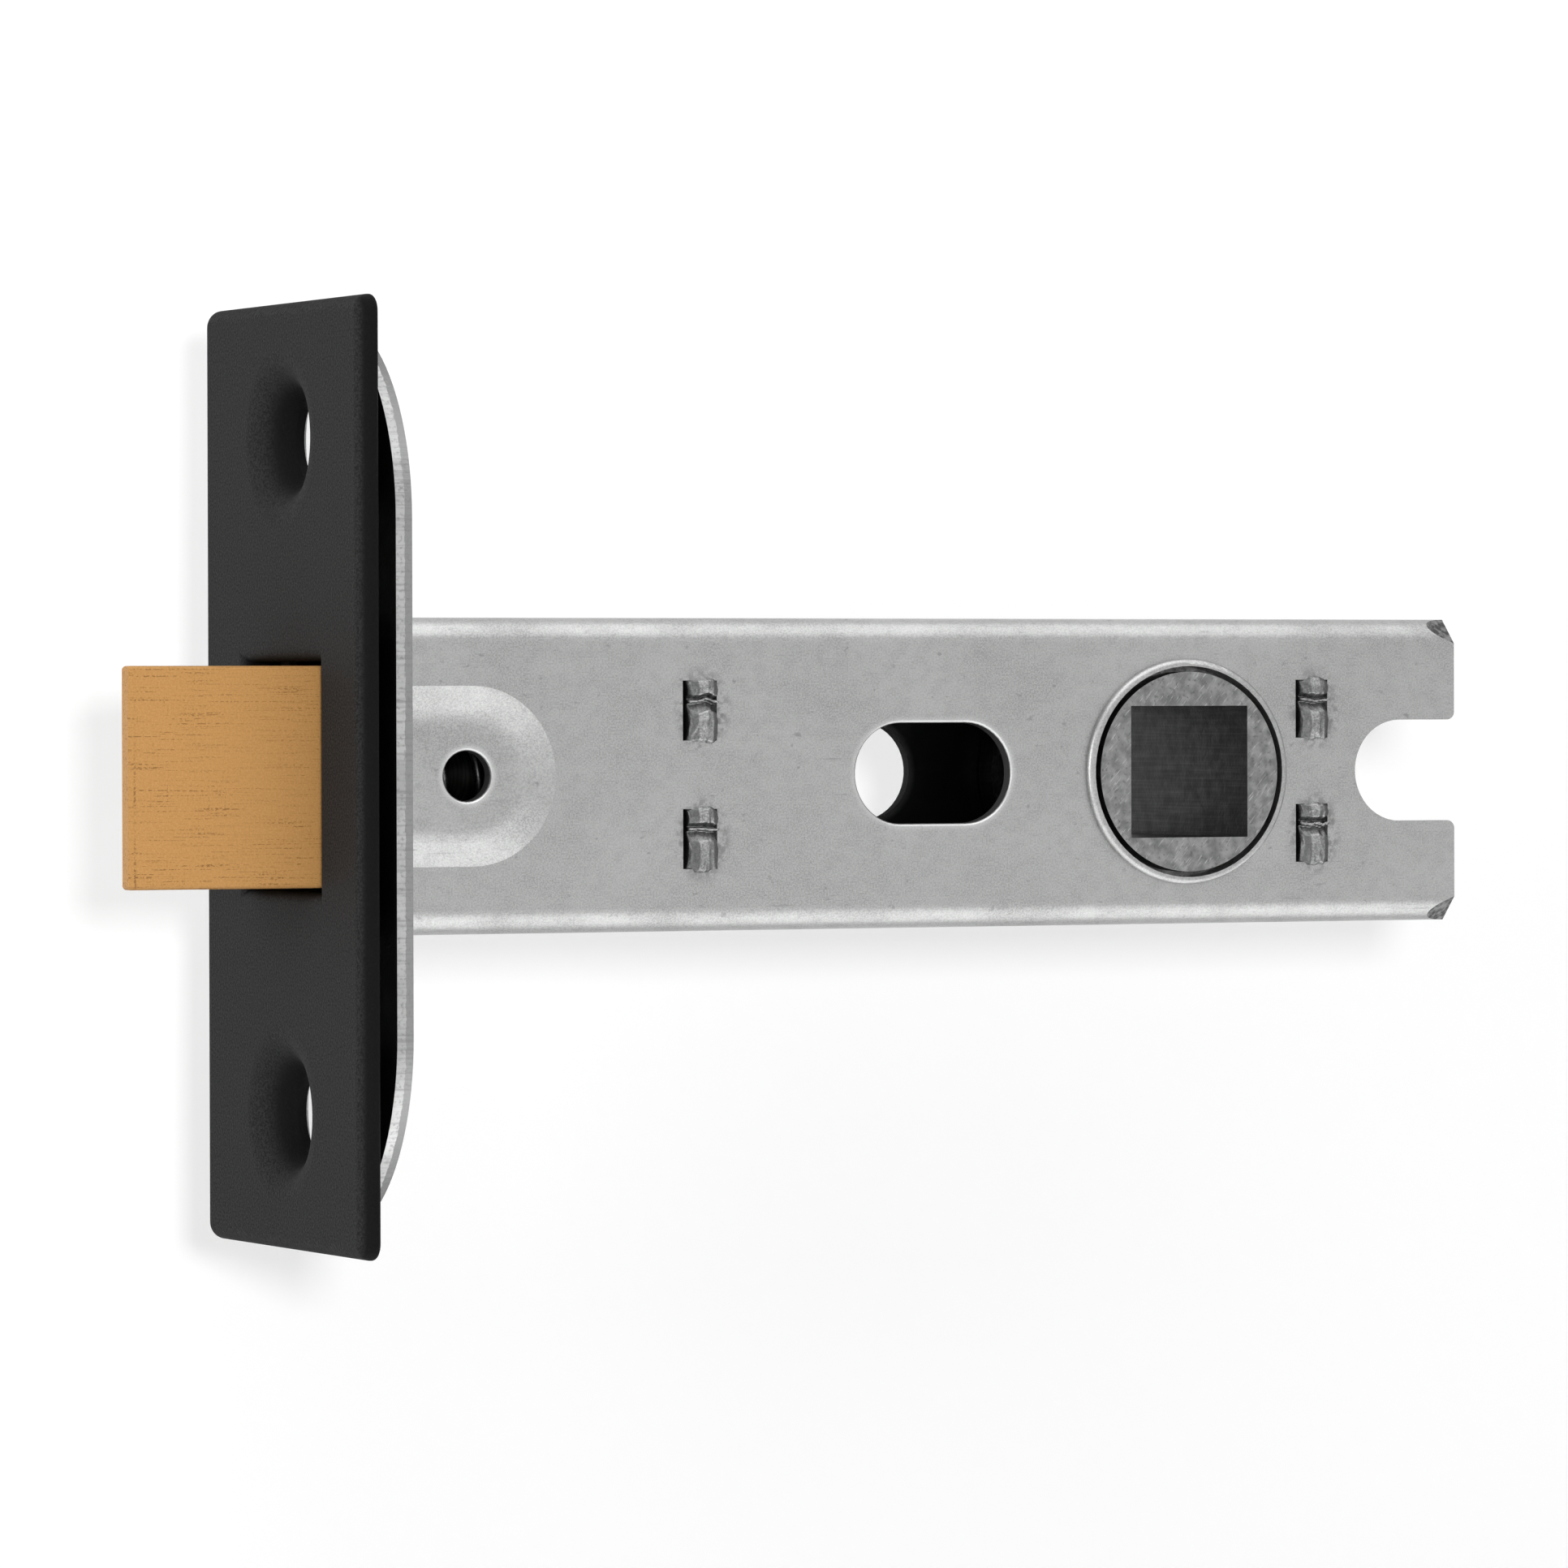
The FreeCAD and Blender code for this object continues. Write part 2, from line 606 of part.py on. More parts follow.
# Bridge: a thick cross plate whose four tabs pass through the case's sides and are split to hold the halves
def make_bridge(label, place, pinned):
    body = new_body(label)
    plate = new_sketch(body, f"{label}_outline", "YZ_Plane", place)
    side = "(case_inside - bridge_clearance)"
    top = "bridge_height / 2"
    middle = "tab_spacing / 2"
    valley = "tab_split / 2"
    shoulder = "tab_facet / 2"

    def tab(across, upper):
        """Corners of one tab from its lower root to its upper one: two struck lobes with a ridge between."""
        low = "tab_low" if upper else "-tab_high"
        high = "tab_high" if upper else "-tab_low"
        centre = middle if upper else f"-{middle}"
        return [
            (f"{across}{side}", low),
            (f"{across}(tab_end - {shoulder})", low),
            (f"{across}tab_end", f"{low} + {shoulder}"),
            (f"{across}tab_end", f"{centre} - {valley}"),
            (f"{across}(tab_end - {valley} / 2)", f"{centre} - tab_ridge"),
            (f"{across}(tab_end - tab_ridge)", centre),
            (f"{across}(tab_end - {valley} / 2)", f"{centre} + tab_ridge"),
            (f"{across}tab_end", f"{centre} + {valley}"),
            (f"{across}tab_end", f"{high} - {shoulder}"),
            (f"{across}(tab_end - {shoulder})", high),
            (f"{across}{side}", high),
        ]

    right = [(side, f"-{top}")] + tab("", False) + tab("", True) + [(side, top)]
    left = [(f"-{side}", f"-{top}")] + tab("-", False) + tab("-", True) + [(f"-{side}", top)]
    outline(plate, right + left[::-1])
    pad(body, plate, "bridge_gauge")
    facets = new_sketch(body, f"{label}_facets", "XY_Plane")
    for across in ("", "-"):
        for edge, inward in ((place, "+"), (f"{place} + bridge_gauge", "-")):
            outline(facets, [
                (edge, f"{across}tab_end"),
                (f"{edge} {inward} tab_facet", f"{across}tab_end"),
                (edge, f"{across}(tab_end - 2 * tab_proud)"),
            ])
    pocket(body, facets, "2 * bridge_height", both_ways=True)
    if pinned:
        hole = new_sketch(body, f"{label}_pin_hole", "YZ_Plane", place)
        circle(hole, "0", "0", "pin_spigot + pin_fit")
        pocket(body, hole, "4 * bridge_gauge", both_ways=True)
    return body


# Latch bolt: a brass bar with a bevelled nose, bored from behind for its spring
def make_latch_bolt():
    body = new_body("latch_bolt")
    plan = new_sketch(body, "bolt_plan", "XY_Plane")
    tip = "-bolt_throw"
    nose_side = "bolt_nose - bolt_side"
    heel = "-bolt_clearance"
    centre_across = f"({tip} + {heel}) / 2 + bevel_reach * bevel_rise"
    centre_along = f"({nose_side} + bolt_side) / 2 - bevel_reach * bevel_run"
    outline(plan, [
        (tip, "-bolt_side"),
        ("bolt_tail", "-bolt_side"),
        ("bolt_tail", "bolt_side"),
        (heel, "bolt_side", "ccw", centre_across, centre_along),
        (tip, nose_side),
    ])
    pad(body, plan, "bolt_height", both_ways=True)
    soften(body, "Fillet", "bolt_edge", lambda edge: (
        edge.BoundBox.XMin < -0.1 and edge.BoundBox.YLength + edge.BoundBox.XLength > 0.01))
    bore = new_sketch(body, "bolt_bore", "YZ_Plane", "bolt_tail")
    circle(bore, "0", "0", "spring_bore")
    pocket(body, bore, "bore_depth")
    rivets = new_sketch(body, "bolt_rivet_holes", "YZ_Plane", "bolt_tail")
    circle(rivets, "0", "rivet_spacing / 2", "rivet_shank")
    circle(rivets, "0", "-rivet_spacing / 2", "rivet_shank")
    pocket(body, rivets, "rivet_depth")
    return body


# Stirrup: a steel strap folded round the mechanism, riveted to the bolt, with a window that each horn pulls
def make_bolt_stirrup():
    body = new_body("bolt_stirrup")
    profile = new_sketch(body, "stirrup_profile", "XZ_Plane")
    corner = "bolt_tail + stirrup_bend"
    level = "(arm_outside - stirrup_bend)"
    outline(profile, [
        ("bar_back", "arm_inside"),
        ("bar_back", "arm_outside"),
        (corner, "arm_outside", "ccw", corner, level),
        ("bolt_tail", level),
        ("bolt_tail", f"-{level}", "ccw", corner, f"-{level}"),
        (corner, "-arm_outside"),
        ("bar_back", "-arm_outside"),
        ("bar_back", "-arm_inside"),
        (corner, "-arm_inside", "cw", corner, f"-{level}"),
        ("web_back", f"-{level}"),
        ("web_back", level, "cw", corner, level),
        (corner, "arm_inside"),
    ])
    pad(body, profile, "stirrup_width", both_ways=True)
    windows = new_sketch(body, "stirrup_windows", "XY_Plane")
    rectangle(windows, "bar_front - window_length", "bar_front", "-window_side", "window_side")
    pocket(body, windows, "4 * case_height", both_ways=True)
    holes = new_sketch(body, "stirrup_holes", "YZ_Plane", "web_back")
    circle(holes, "0", "0", "spring_bore")
    circle(holes, "0", "rivet_spacing / 2", "rivet_shank")
    circle(holes, "0", "-rivet_spacing / 2", "rivet_shank")
    pocket(body, holes, "2 * stirrup_gauge")
    return body


# Rivets: two plain pins with domed heads that hold the stirrup to the back of the bolt
def make_stirrup_rivet(label, level):
    shank = doc.addObject("Part::Cylinder", f"{label}_shank")
    shank.setExpression("Radius", cell("rivet_shank / 2"))
    shank.setExpression("Height", cell("rivet_depth + stirrup_gauge"))
    head = doc.addObject("Part::Cone", f"{label}_head")
    head.setExpression("Radius1", cell("rivet_head / 2"))
    head.setExpression("Radius2", cell("rivet_shank / 2"))
    head.setExpression("Height", cell("rivet_head_rise"))
    lying = FreeCAD.Rotation(FreeCAD.Vector(0, 1, 0), 90)
    for piece, place in ((shank, "bolt_tail - rivet_depth"), (head, "web_back")):
        piece.Placement = FreeCAD.Placement(FreeCAD.Vector(), lying)
        piece.setExpression("Placement.Base.x", cell(place))
        piece.setExpression("Placement.Base.z", cell(f"{level}rivet_spacing / 2"))
    rivet = doc.addObject("Part::Fuse", label)
    rivet.Base = shank
    rivet.Tool = head
    rivet.Label = label
    return rivet


# Spring: a compression spring between the bottom of the bolt's bore and the front bridge
def make_bolt_spring():
    body = new_body("bolt_spring")
    section = new_sketch(body, "spring_section", "XZ_Plane", "0")
    circle(section, "spring_seat + spring_wire / 2", "(spring_outside - spring_wire) / 2", "spring_wire")
    coil = body.newObject("PartDesign::AdditiveHelix", "spring_coil")
    coil.Profile = section
    coil.ReferenceAxis = (section, ["H_Axis"])
    coil.Mode = "pitch-turns-angle"
    coil.setExpression("Pitch", cell("spring_pitch"))
    coil.setExpression("Turns", cell("spring_turns"))
    section.Visibility = False
    return body


# Spring guide pin: a turned pin riveted through the front bridge, which keeps the spring straight
def make_spring_guide_pin():
    body = new_body("spring_guide_pin")
    profile = new_sketch(body, "pin_profile", "XZ_Plane")
    turning_axis(profile, "0")
    tip = "front_bridge_place - pin_reach"
    bridge_back = "front_bridge_place + bridge_gauge"
    outline(profile, [
        (tip, "0"),
        (f"{bridge_back} + pin_head_rise", "0"),
        (f"{bridge_back} + pin_head_rise", "pin_spigot / 2"),
        (bridge_back, "pin_head / 2"),
        (bridge_back, "pin_spigot / 2"),
        ("front_bridge_place", "pin_spigot / 2"),
        ("front_bridge_place", "pin_shank / 2"),
        (f"{tip} + pin_shank / 4", "pin_shank / 2"),
        (tip, "pin_shank / 4"),
    ])
    turned(body, profile)
    return body


# Follower: a cast hub with a square hole, a flange inside each case half and two horns that pull the stirrup
def make_follower():
    body = new_body("follower")
    spool = new_sketch(body, "spool_profile", "XY_Plane")
    axis = Part.LineSegment(FreeCAD.Vector(size("backset"), 0, 0), FreeCAD.Vector(size("backset"), 1, 0))
    geometry = spool.addGeometry(axis, True)
    pin_point(spool, geometry, 1, "backset", "0")
    spool.addConstraint(Sketcher.Constraint("Vertical", geometry))
    spool.addConstraint(Sketcher.Constraint("DistanceY", geometry, 1, geometry, 2, 1.0))
    flange_out = "(case_inside - follower_clearance / 2)"
    boss = "backset + follower_boss / 2"
    drum = "backset + follower_drum / 2"
    flange = "backset + follower_flange / 2"
    outline(spool, [
        ("backset", "-follower_end"),
        (boss, "-follower_end"),
        (boss, f"-{flange_out}"),
        (flange, f"-{flange_out}"),
        (flange, "-flange_inset"),
        (drum, "-flange_inset"),
        (drum, "flange_inset"),
        (flange, "flange_inset"),
        (flange, flange_out),
        (boss, flange_out),
        (boss, "follower_end"),
        ("backset", "follower_end"),
    ])
    turned(body, spool)
    horn = new_sketch(body, "horn_profile", "XZ_Plane")

    def polar(radius, degrees):
        """A place on the horn, at an angle forward of straight up from the follower's axis."""
        return (f"backset - {radius} * sin({degrees} * 1 deg)", f"{radius} * cos({degrees} * 1 deg)")

    root = "(follower_drum / 2 - horn_clearance)"
    lead = "horn_lead"
    trail = "(horn_lead + horn_spread)"
    outline(horn, [
        polar("horn_radius", lead) + ("ccw", "backset", "0"),
        polar("horn_radius", trail),
        polar(root, "(horn_lead + horn_spread + horn_undercut)"),
        polar(root, "(horn_lead + horn_undercut)"),
    ])
    mirrored(body, pad(body, horn, "horn_width", both_ways=True), "XY_Plane")
    square = new_sketch(body, "spindle_square", "XZ_Plane")
    half = "follower_square / 2"
    rectangle(square, f"backset - {half}", f"backset + {half}", f"-{half}", half)
    pocket(body, square, "4 * case_depth", both_ways=True)
    return body


pieces = [
    make_faceplate(),
    make_inner_forend(),
    make_case_half("case_near_half", -1),
    make_case_half("case_far_half", 1),
    make_bridge("front_bridge", "front_bridge_place", pinned=True),
    make_bridge("rear_bridge", "rear_bridge_place", pinned=False),
    make_latch_bolt(),
    make_bolt_stirrup(),
    make_stirrup_rivet("upper_stirrup_rivet", ""),
    make_stirrup_rivet("lower_stirrup_rivet", "-"),
    make_bolt_spring(),
    make_spring_guide_pin(),
    make_follower(),
]
doc.recompute()

for item in doc.Objects:
    if "Invalid" in item.State or "Error" in item.State:
        raise ValueError(f"{item.Name} did not build: {item.State}")
for piece in pieces:
    if piece.Shape.isNull() or not piece.Shape.isValid():
        raise ValueError(f"{piece.Label} has no valid shape")

os.makedirs("parts", exist_ok=True)
for piece in pieces:
    piece.Shape.exportStep(f"parts/{piece.Label}.step")
    box = piece.Shape.BoundBox
    print(f"{piece.Label}: {len(piece.Shape.Solids)} solid, {piece.Shape.Volume:.1f} mm3, "
          f"X {box.XMin:.2f} to {box.XMax:.2f}, Y {box.YMin:.2f} to {box.YMax:.2f}, "
          f"Z {box.ZMin:.2f} to {box.ZMax:.2f}")
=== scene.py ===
import bmesh
import bpy
import math
from mathutils import Matrix, Vector


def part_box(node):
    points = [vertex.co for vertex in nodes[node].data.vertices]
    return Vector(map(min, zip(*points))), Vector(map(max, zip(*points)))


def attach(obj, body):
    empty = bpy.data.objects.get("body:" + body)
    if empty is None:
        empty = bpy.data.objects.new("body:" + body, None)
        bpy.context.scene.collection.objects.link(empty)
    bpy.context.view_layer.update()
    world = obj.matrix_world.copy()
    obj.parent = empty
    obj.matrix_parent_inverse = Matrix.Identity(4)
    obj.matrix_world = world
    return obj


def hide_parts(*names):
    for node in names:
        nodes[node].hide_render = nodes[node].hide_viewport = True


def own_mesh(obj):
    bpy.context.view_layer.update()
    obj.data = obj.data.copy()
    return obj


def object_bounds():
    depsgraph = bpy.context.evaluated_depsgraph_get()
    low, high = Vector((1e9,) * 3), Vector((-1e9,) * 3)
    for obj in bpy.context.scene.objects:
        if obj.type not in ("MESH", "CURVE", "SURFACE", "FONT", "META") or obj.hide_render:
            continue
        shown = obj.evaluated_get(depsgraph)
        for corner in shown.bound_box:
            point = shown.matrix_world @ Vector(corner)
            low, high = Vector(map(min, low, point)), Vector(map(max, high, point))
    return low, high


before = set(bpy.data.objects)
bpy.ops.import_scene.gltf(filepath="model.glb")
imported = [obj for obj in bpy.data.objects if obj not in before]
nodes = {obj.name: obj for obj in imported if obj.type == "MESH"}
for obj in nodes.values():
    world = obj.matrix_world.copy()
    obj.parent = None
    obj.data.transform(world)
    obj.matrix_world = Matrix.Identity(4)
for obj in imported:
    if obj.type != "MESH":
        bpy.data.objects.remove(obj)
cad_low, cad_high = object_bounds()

# Case: two halves pressed from zinc plated steel sheet and folded to facing channels.
# The plating is satin grey with a fine spangle; a painted highlight rings the holes, and the inside faces
# are painted darker as shade.
# The holes' sheared walls and the rear corners, which were hammered flat, are painted dark as shade.
zinc_grey = (0.356, 0.360, 0.356, 1)
zinc_cloud = (0.276, 0.279, 0.275, 1)
zinc_fleck = (0.205, 0.207, 0.205, 1)
zinc_bright_and_highlight = (0.600, 0.605, 0.600, 1)
inside_painted_shade = (0.095, 0.095, 0.095, 1)
wall_painted_shade = (0.055, 0.055, 0.055, 1)
corner_painted_shade = (0.230, 0.233, 0.231, 1)
cloud_size = 0.0045
mottle_size = 0.0007
fleck_size = 0.00045
scuff_width = 0.00025
spangle_size = 0.00010
spangle_relief = 0.000012
inner_side_start = 0.0010
inner_side_full = 0.0030
inner_roof_start = 0.0080
inner_roof_full = 0.0086
tab_level = 0.00385
tab_middles = (0.0242, 0.0660)
smudge_length = 0.0021
smudge_height = 0.0029
smear_size = 0.00035
slot_middle = 0.03965
slot_straight = 0.0022
slot_radius = 0.00305
slot_rim_highlight = 0.50
guide_hole_middle = 0.00925
guide_hole_radius = 0.0015
guide_hole_rim_highlight = 0.75
rim_width = 0.0005
corner_start = 0.0735
corner_full = 0.0740


def new_finish(name):
    """A material with one Principled shader, and a way to read places on the piece in metres."""
    finish = bpy.data.materials.new(name)
    finish.use_nodes = True
    tree = finish.node_tree
    shader = tree.nodes["Principled BSDF"]
    place = tree.nodes.new("ShaderNodeTexCoord")
    return finish, tree, shader, place


def speckle(tree, place, size, stretch=(1, 1, 1), detail=2.0, turn=(0, 0, 0)):
    """A soft random value over the piece; size is that of its spots, in metres."""
    mapping = tree.nodes.new("ShaderNodeMapping")
    mapping.vector_type = "TEXTURE"
    mapping.inputs["Scale"].default_value = [size * s for s in stretch]
    mapping.inputs["Rotation"].default_value = turn
    tree.links.new(place.outputs["Object"], mapping.inputs["Vector"])
    noise = tree.nodes.new("ShaderNodeTexNoise")
    noise.inputs["Scale"].default_value = 1.0
    noise.inputs["Detail"].default_value = detail
    tree.links.new(mapping.outputs["Vector"], noise.inputs["Vector"])
    return noise.outputs["Fac"]


def ramp(tree, value, low, high, to_low=0.0, to_high=1.0):
    """A smooth step of a value between two limits."""
    step = tree.nodes.new("ShaderNodeMapRange")
    step.interpolation_type = "SMOOTHSTEP"
    step.inputs["From Min"].default_value = low
    step.inputs["From Max"].default_value = high
    step.inputs["To Min"].default_value = to_low
    step.inputs["To Max"].default_value = to_high
    tree.links.new(value, step.inputs["Value"])
    return step.outputs["Result"]


def combine(tree, kind, first, second=0.0):
    """Two values put together by one kind of sum; either may be a plain number."""
    joint = tree.nodes.new("ShaderNodeMath")
    joint.operation = kind
    for socket, value in zip(joint.inputs, (first, second)):
        if isinstance(value, (int, float)):
            socket.default_value = value
        else:
            tree.links.new(value, socket)
    return joint.outputs["Value"]


def plus(tree, first, second):
    return combine(tree, "ADD", first, second)


def minus(tree, first, second):
    return combine(tree, "SUBTRACT", first, second)


def times(tree, first, second):
    return combine(tree, "MULTIPLY", first, second)


def larger(tree, first, second):
    return combine(tree, "MAXIMUM", first, second)


def unsigned(tree, value):
    return combine(tree, "ABSOLUTE", value)


def part_of(tree, vector, axis):
    """One of a vector's three parts, by the letter of its axis."""
    split = tree.nodes.new("ShaderNodeSeparateXYZ")
    tree.links.new(vector, split.inputs["Vector"])
    return split.outputs[axis]


def tint(tree, share, below, above):
    """A colour that goes from one to another as share goes from 0 to 1."""
    mix = tree.nodes.new("ShaderNodeMix")
    mix.data_type = "RGBA"
    tree.links.new(share, mix.inputs["Factor"])
    for name, colour in (("A", below), ("B", above)):
        socket = next(s for s in mix.inputs if s.name == name and s.type == "RGBA")
        if isinstance(colour, tuple):
            socket.default_value = colour
        else:
            tree.links.new(colour, socket)
    return next(s for s in mix.outputs if s.type == "RGBA")


def roughen(tree, shader, height, depth):
    """Fine relief on the shader; depth is the height of the relief in metres."""
    bump = tree.nodes.new("ShaderNodeBump")
    bump.inputs["Strength"].default_value = 1.0
    bump.inputs["Distance"].default_value = depth
    tree.links.new(height, bump.inputs["Height"])
    tree.links.new(bump.outputs["Normal"], shader.inputs["Normal"])


def zinc_plate(name, grey, cloud, wear_and_painted_light):
    """Satin zinc plating: cloudy grey with fine spangle, dark flecks, scuffs, painted shade on the inner
    faces, and the piece's own wear and painted light.
    """
    finish, tree, shader, place = new_finish(name)
    clouds = ramp(tree, speckle(tree, place, cloud_size, stretch=(1.5, 1, 1), detail=5.0), 0.35, 0.75)
    mottle = speckle(tree, place, mottle_size, stretch=(1.3, 1, 1), detail=5.0)
    spangle = speckle(tree, place, spangle_size)
    scuffs = speckle(tree, place, scuff_width, stretch=(14, 1, 1), detail=4.0)
    flecks = speckle(tree, place, fleck_size, stretch=(1.4, 1, 1), detail=5.0)
    colour = tint(tree, clouds, grey, cloud)
    colour = tint(tree, ramp(tree, mottle, 0.40, 0.68, to_high=0.24), colour, zinc_fleck)
    colour = tint(tree, ramp(tree, spangle, 0.30, 0.70, to_high=0.36), colour, zinc_bright_and_highlight)
    colour = tint(tree, ramp(tree, scuffs, 0.62, 0.80, to_high=0.45), colour, zinc_fleck)
    colour = tint(tree, ramp(tree, flecks, 0.66, 0.76, to_high=0.60), colour, zinc_fleck)
    # The inner faces of the halves are painted darker, as painted shade.
    outward_side = times(tree, part_of(tree, place.outputs["Object"], "Y"),
                         part_of(tree, place.outputs["Normal"], "Y"))
    outward_roof = times(tree, part_of(tree, place.outputs["Object"], "Z"),
                         part_of(tree, place.outputs["Normal"], "Z"))
    inner_side = ramp(tree, outward_side, -inner_side_full, -inner_side_start, 1.0, 0.0)
    inner_roof = ramp(tree, outward_roof, -inner_roof_full, -inner_roof_start, 1.0, 0.0)
    colour = tint(tree, larger(tree, inner_side, inner_roof), colour, inside_painted_shade)
    colour, shaded_wall = wear_and_painted_light(tree, place, colour)
    tree.links.new(colour, shader.inputs["Base Color"])
    tree.links.new(minus(tree, 1.0, shaded_wall), shader.inputs["Metallic"])
    tree.links.new(ramp(tree, clouds, 0.0, 1.0, 0.36, 0.46), shader.inputs["Roughness"])
    shader.inputs["Specular IOR Level"].default_value = 0.0
    roughen(tree, shader, spangle, spangle_relief)
    return finish


def near_place(tree, value, middle, reach):
    """How far a value is from a middle, as a share of a reach, squared."""
    share = combine(tree, "DIVIDE", minus(tree, value, middle), reach)
    return times(tree, share, share)


def from_hole(tree, across, height, middle, straight, reach):
    """How far a place is from the middle line of a pierced hole, as a share of a reach, squared."""
    aside = minus(tree, unsigned(tree, minus(tree, across, middle)), straight)
    aside = larger(tree, aside, 0.0)
    return plus(tree, near_place(tree, aside, 0.0, reach), near_place(tree, height, 0.0, reach))


def case_wear_and_painted_light(tree, place, colour):
    """Smudges round the struck tabs, painted highlight on the hole rims, and painted shade on the hole
    walls and the rear corners.
    """
    across = part_of(tree, place.outputs["Object"], "X")
    height = part_of(tree, place.outputs["Object"], "Z")
    facing_x = part_of(tree, place.outputs["Normal"], "X")
    facing_y = part_of(tree, place.outputs["Normal"], "Y")
    smears = ramp(tree, speckle(tree, place, smear_size, detail=5.0), 0.38, 0.66)
    off_level = near_place(tree, unsigned(tree, height), tab_level, smudge_height)
    for tab_middle in tab_middles:
        spread = plus(tree, near_place(tree, across, tab_middle, smudge_length), off_level)
        smudge = times(tree, ramp(tree, spread, 0.35, 1.0, 0.95, 0.0), smears)
        colour = tint(tree, smudge, colour, zinc_fleck)
    pierced = 0.0
    # Each hole gets a ring of painted highlight round its rim.
    for middle, straight, radius, rim_highlight in ((slot_middle, slot_straight, slot_radius, slot_rim_highlight),
                                          (guide_hole_middle, 0.0, guide_hole_radius, guide_hole_rim_highlight)):
        spread = from_hole(tree, across, height, middle, straight, radius + rim_width)
        edge = (radius / (radius + rim_width)) ** 2
        colour = tint(tree, ramp(tree, spread, edge, 1.0, rim_highlight, 0.0), colour, zinc_bright_and_highlight)
        pierced = larger(tree, pierced, ramp(tree, spread, 1.0, 1.1, 1.0, 0.0))
    # The rear corner facets are painted dark in mottled tones, as painted shade.
    slanted = times(tree, ramp(tree, facing_x, 0.12, 0.25), ramp(tree, facing_x, 0.80, 0.90, 1.0, 0.0))
    corner = times(tree, slanted, ramp(tree, across, corner_start, corner_full))
    colour = tint(tree, corner, colour, tint(tree, smears, wall_painted_shade, corner_painted_shade))
    # Hole walls seen edge-on are painted dark and not metal, as painted shade.
    edge_on = ramp(tree, unsigned(tree, facing_y), 0.25, 0.45, 1.0, 0.0)
    shaded_wall = times(tree, edge_on, pierced)
    return tint(tree, shaded_wall, colour, wall_painted_shade), shaded_wall


case_finish = zinc_plate("satin_zinc_case", zinc_grey, zinc_cloud, case_wear_and_painted_light)
for half in ("case_near_half", "case_far_half"):
    nodes[half].data.materials[0] = case_finish

# Bridges: two thick cross plates of zinc plated steel between the halves.
# Their tabs come out through the case's sides, and each was struck twice with a chisel beside a thin fin,
# so that two rough lobes spread over the sheet and hold the halves together.
tab_grey = (0.210, 0.213, 0.211, 1)
tab_cloud = (0.120, 0.122, 0.121, 1)
tab_flank_painted_shade = (0.070, 0.071, 0.071, 1)
case_side = 0.0075
tab_height = 0.00402
tab_overhang = 0.00016
tab_root = 0.00655
tab_sink = 0.00050
tab_rise = 0.00086
tab_unevenness = 0.00030
lobe_along = ((0.0, 0.50), (0.05, 0.84), (0.16, 0.94), (0.34, 1.0), (0.46, 0.86), (0.57, 0.35),
              (0.63, 0.15), (0.68, 0.12), (0.75, 0.92), (0.84, 1.0), (0.94, 0.86), (1.0, 0.50))
lobe_across = ((0.0, 0.38), (0.08, 0.64), (0.30, 0.96), (0.58, 1.0), (0.80, 0.86), (1.0, 0.55))
fin_along = ((0.0, 0.0), (0.605, 0.0), (0.628, 0.64), (0.664, 0.66), (0.680, 0.0), (1.0, 0.0))
lobe_wander = 1.3
lobe_drift = 0.16
drift_relief = 6.0
end_spread = 0.18
end_rounding = 0.035
rim_reach = 1.08
grid_span = 2.2
grid_columns = 45
grid_rows = 89
seed_step = 3.7
weld_distance = 1e-7
root_margin = 1e-5


def size_inputs(tree, names):
    """Named sizes of a geometry tree, with the identifiers by which a modifier sets them."""
    keys = {}
    for name in names:
        socket = tree.interface.new_socket(name, in_out="INPUT", socket_type="NodeSocketFloat")
        keys[name] = socket.identifier
    return keys


def close_tree(tree, shape, finish):
    """The end of a geometry tree: plain geometry with its material."""
    tree.interface.new_socket("Geometry", in_out="OUTPUT", socket_type="NodeSocketGeometry")
    plain = tree.nodes.new("GeometryNodeRealizeInstances")
    tree.links.new(shape, plain.inputs["Geometry"])
    painted = tree.nodes.new("GeometryNodeSetMaterial")
    painted.inputs["Material"].default_value = finish
    tree.links.new(plain.outputs["Geometry"], painted.inputs["Geometry"])
    result = tree.nodes.new("NodeGroupOutput")
    tree.links.new(painted.outputs["Geometry"], result.inputs["Geometry"])


def moved(tree, shape, x, y, z):
    """A geometry with its points put at new places."""
    point = tree.nodes.new("ShaderNodeCombineXYZ")
    for axis, value in (("X", x), ("Y", y), ("Z", z)):
        tree.links.new(value, point.inputs[axis])
    shift = tree.nodes.new("GeometryNodeSetPosition")
    tree.links.new(shape, shift.inputs["Geometry"])
    tree.links.new(point.outputs["Vector"], shift.inputs["Position"])
    return shift.outputs["Geometry"]


def struck_profile(tree, value, points):
    """A value from 0 to 1 led along straight facets."""
    curve = tree.nodes.new("ShaderNodeFloatCurve")
    line = curve.mapping.curves[0]
    line.points[0].location = points[0]
    line.points[1].location = points[-1]
    for point in points[1:-1]:
        line.points.new(*point)
    for point in line.points:
        point.handle_type = "VECTOR"
    curve.mapping.update()
    tree.links.new(value, curve.inputs["Value"])
    return curve.outputs["Value"]


def held(tree, value):
    """A value kept between -1 and 1."""
    return larger(tree, combine(tree, "MINIMUM", value, 1.0), -1.0)


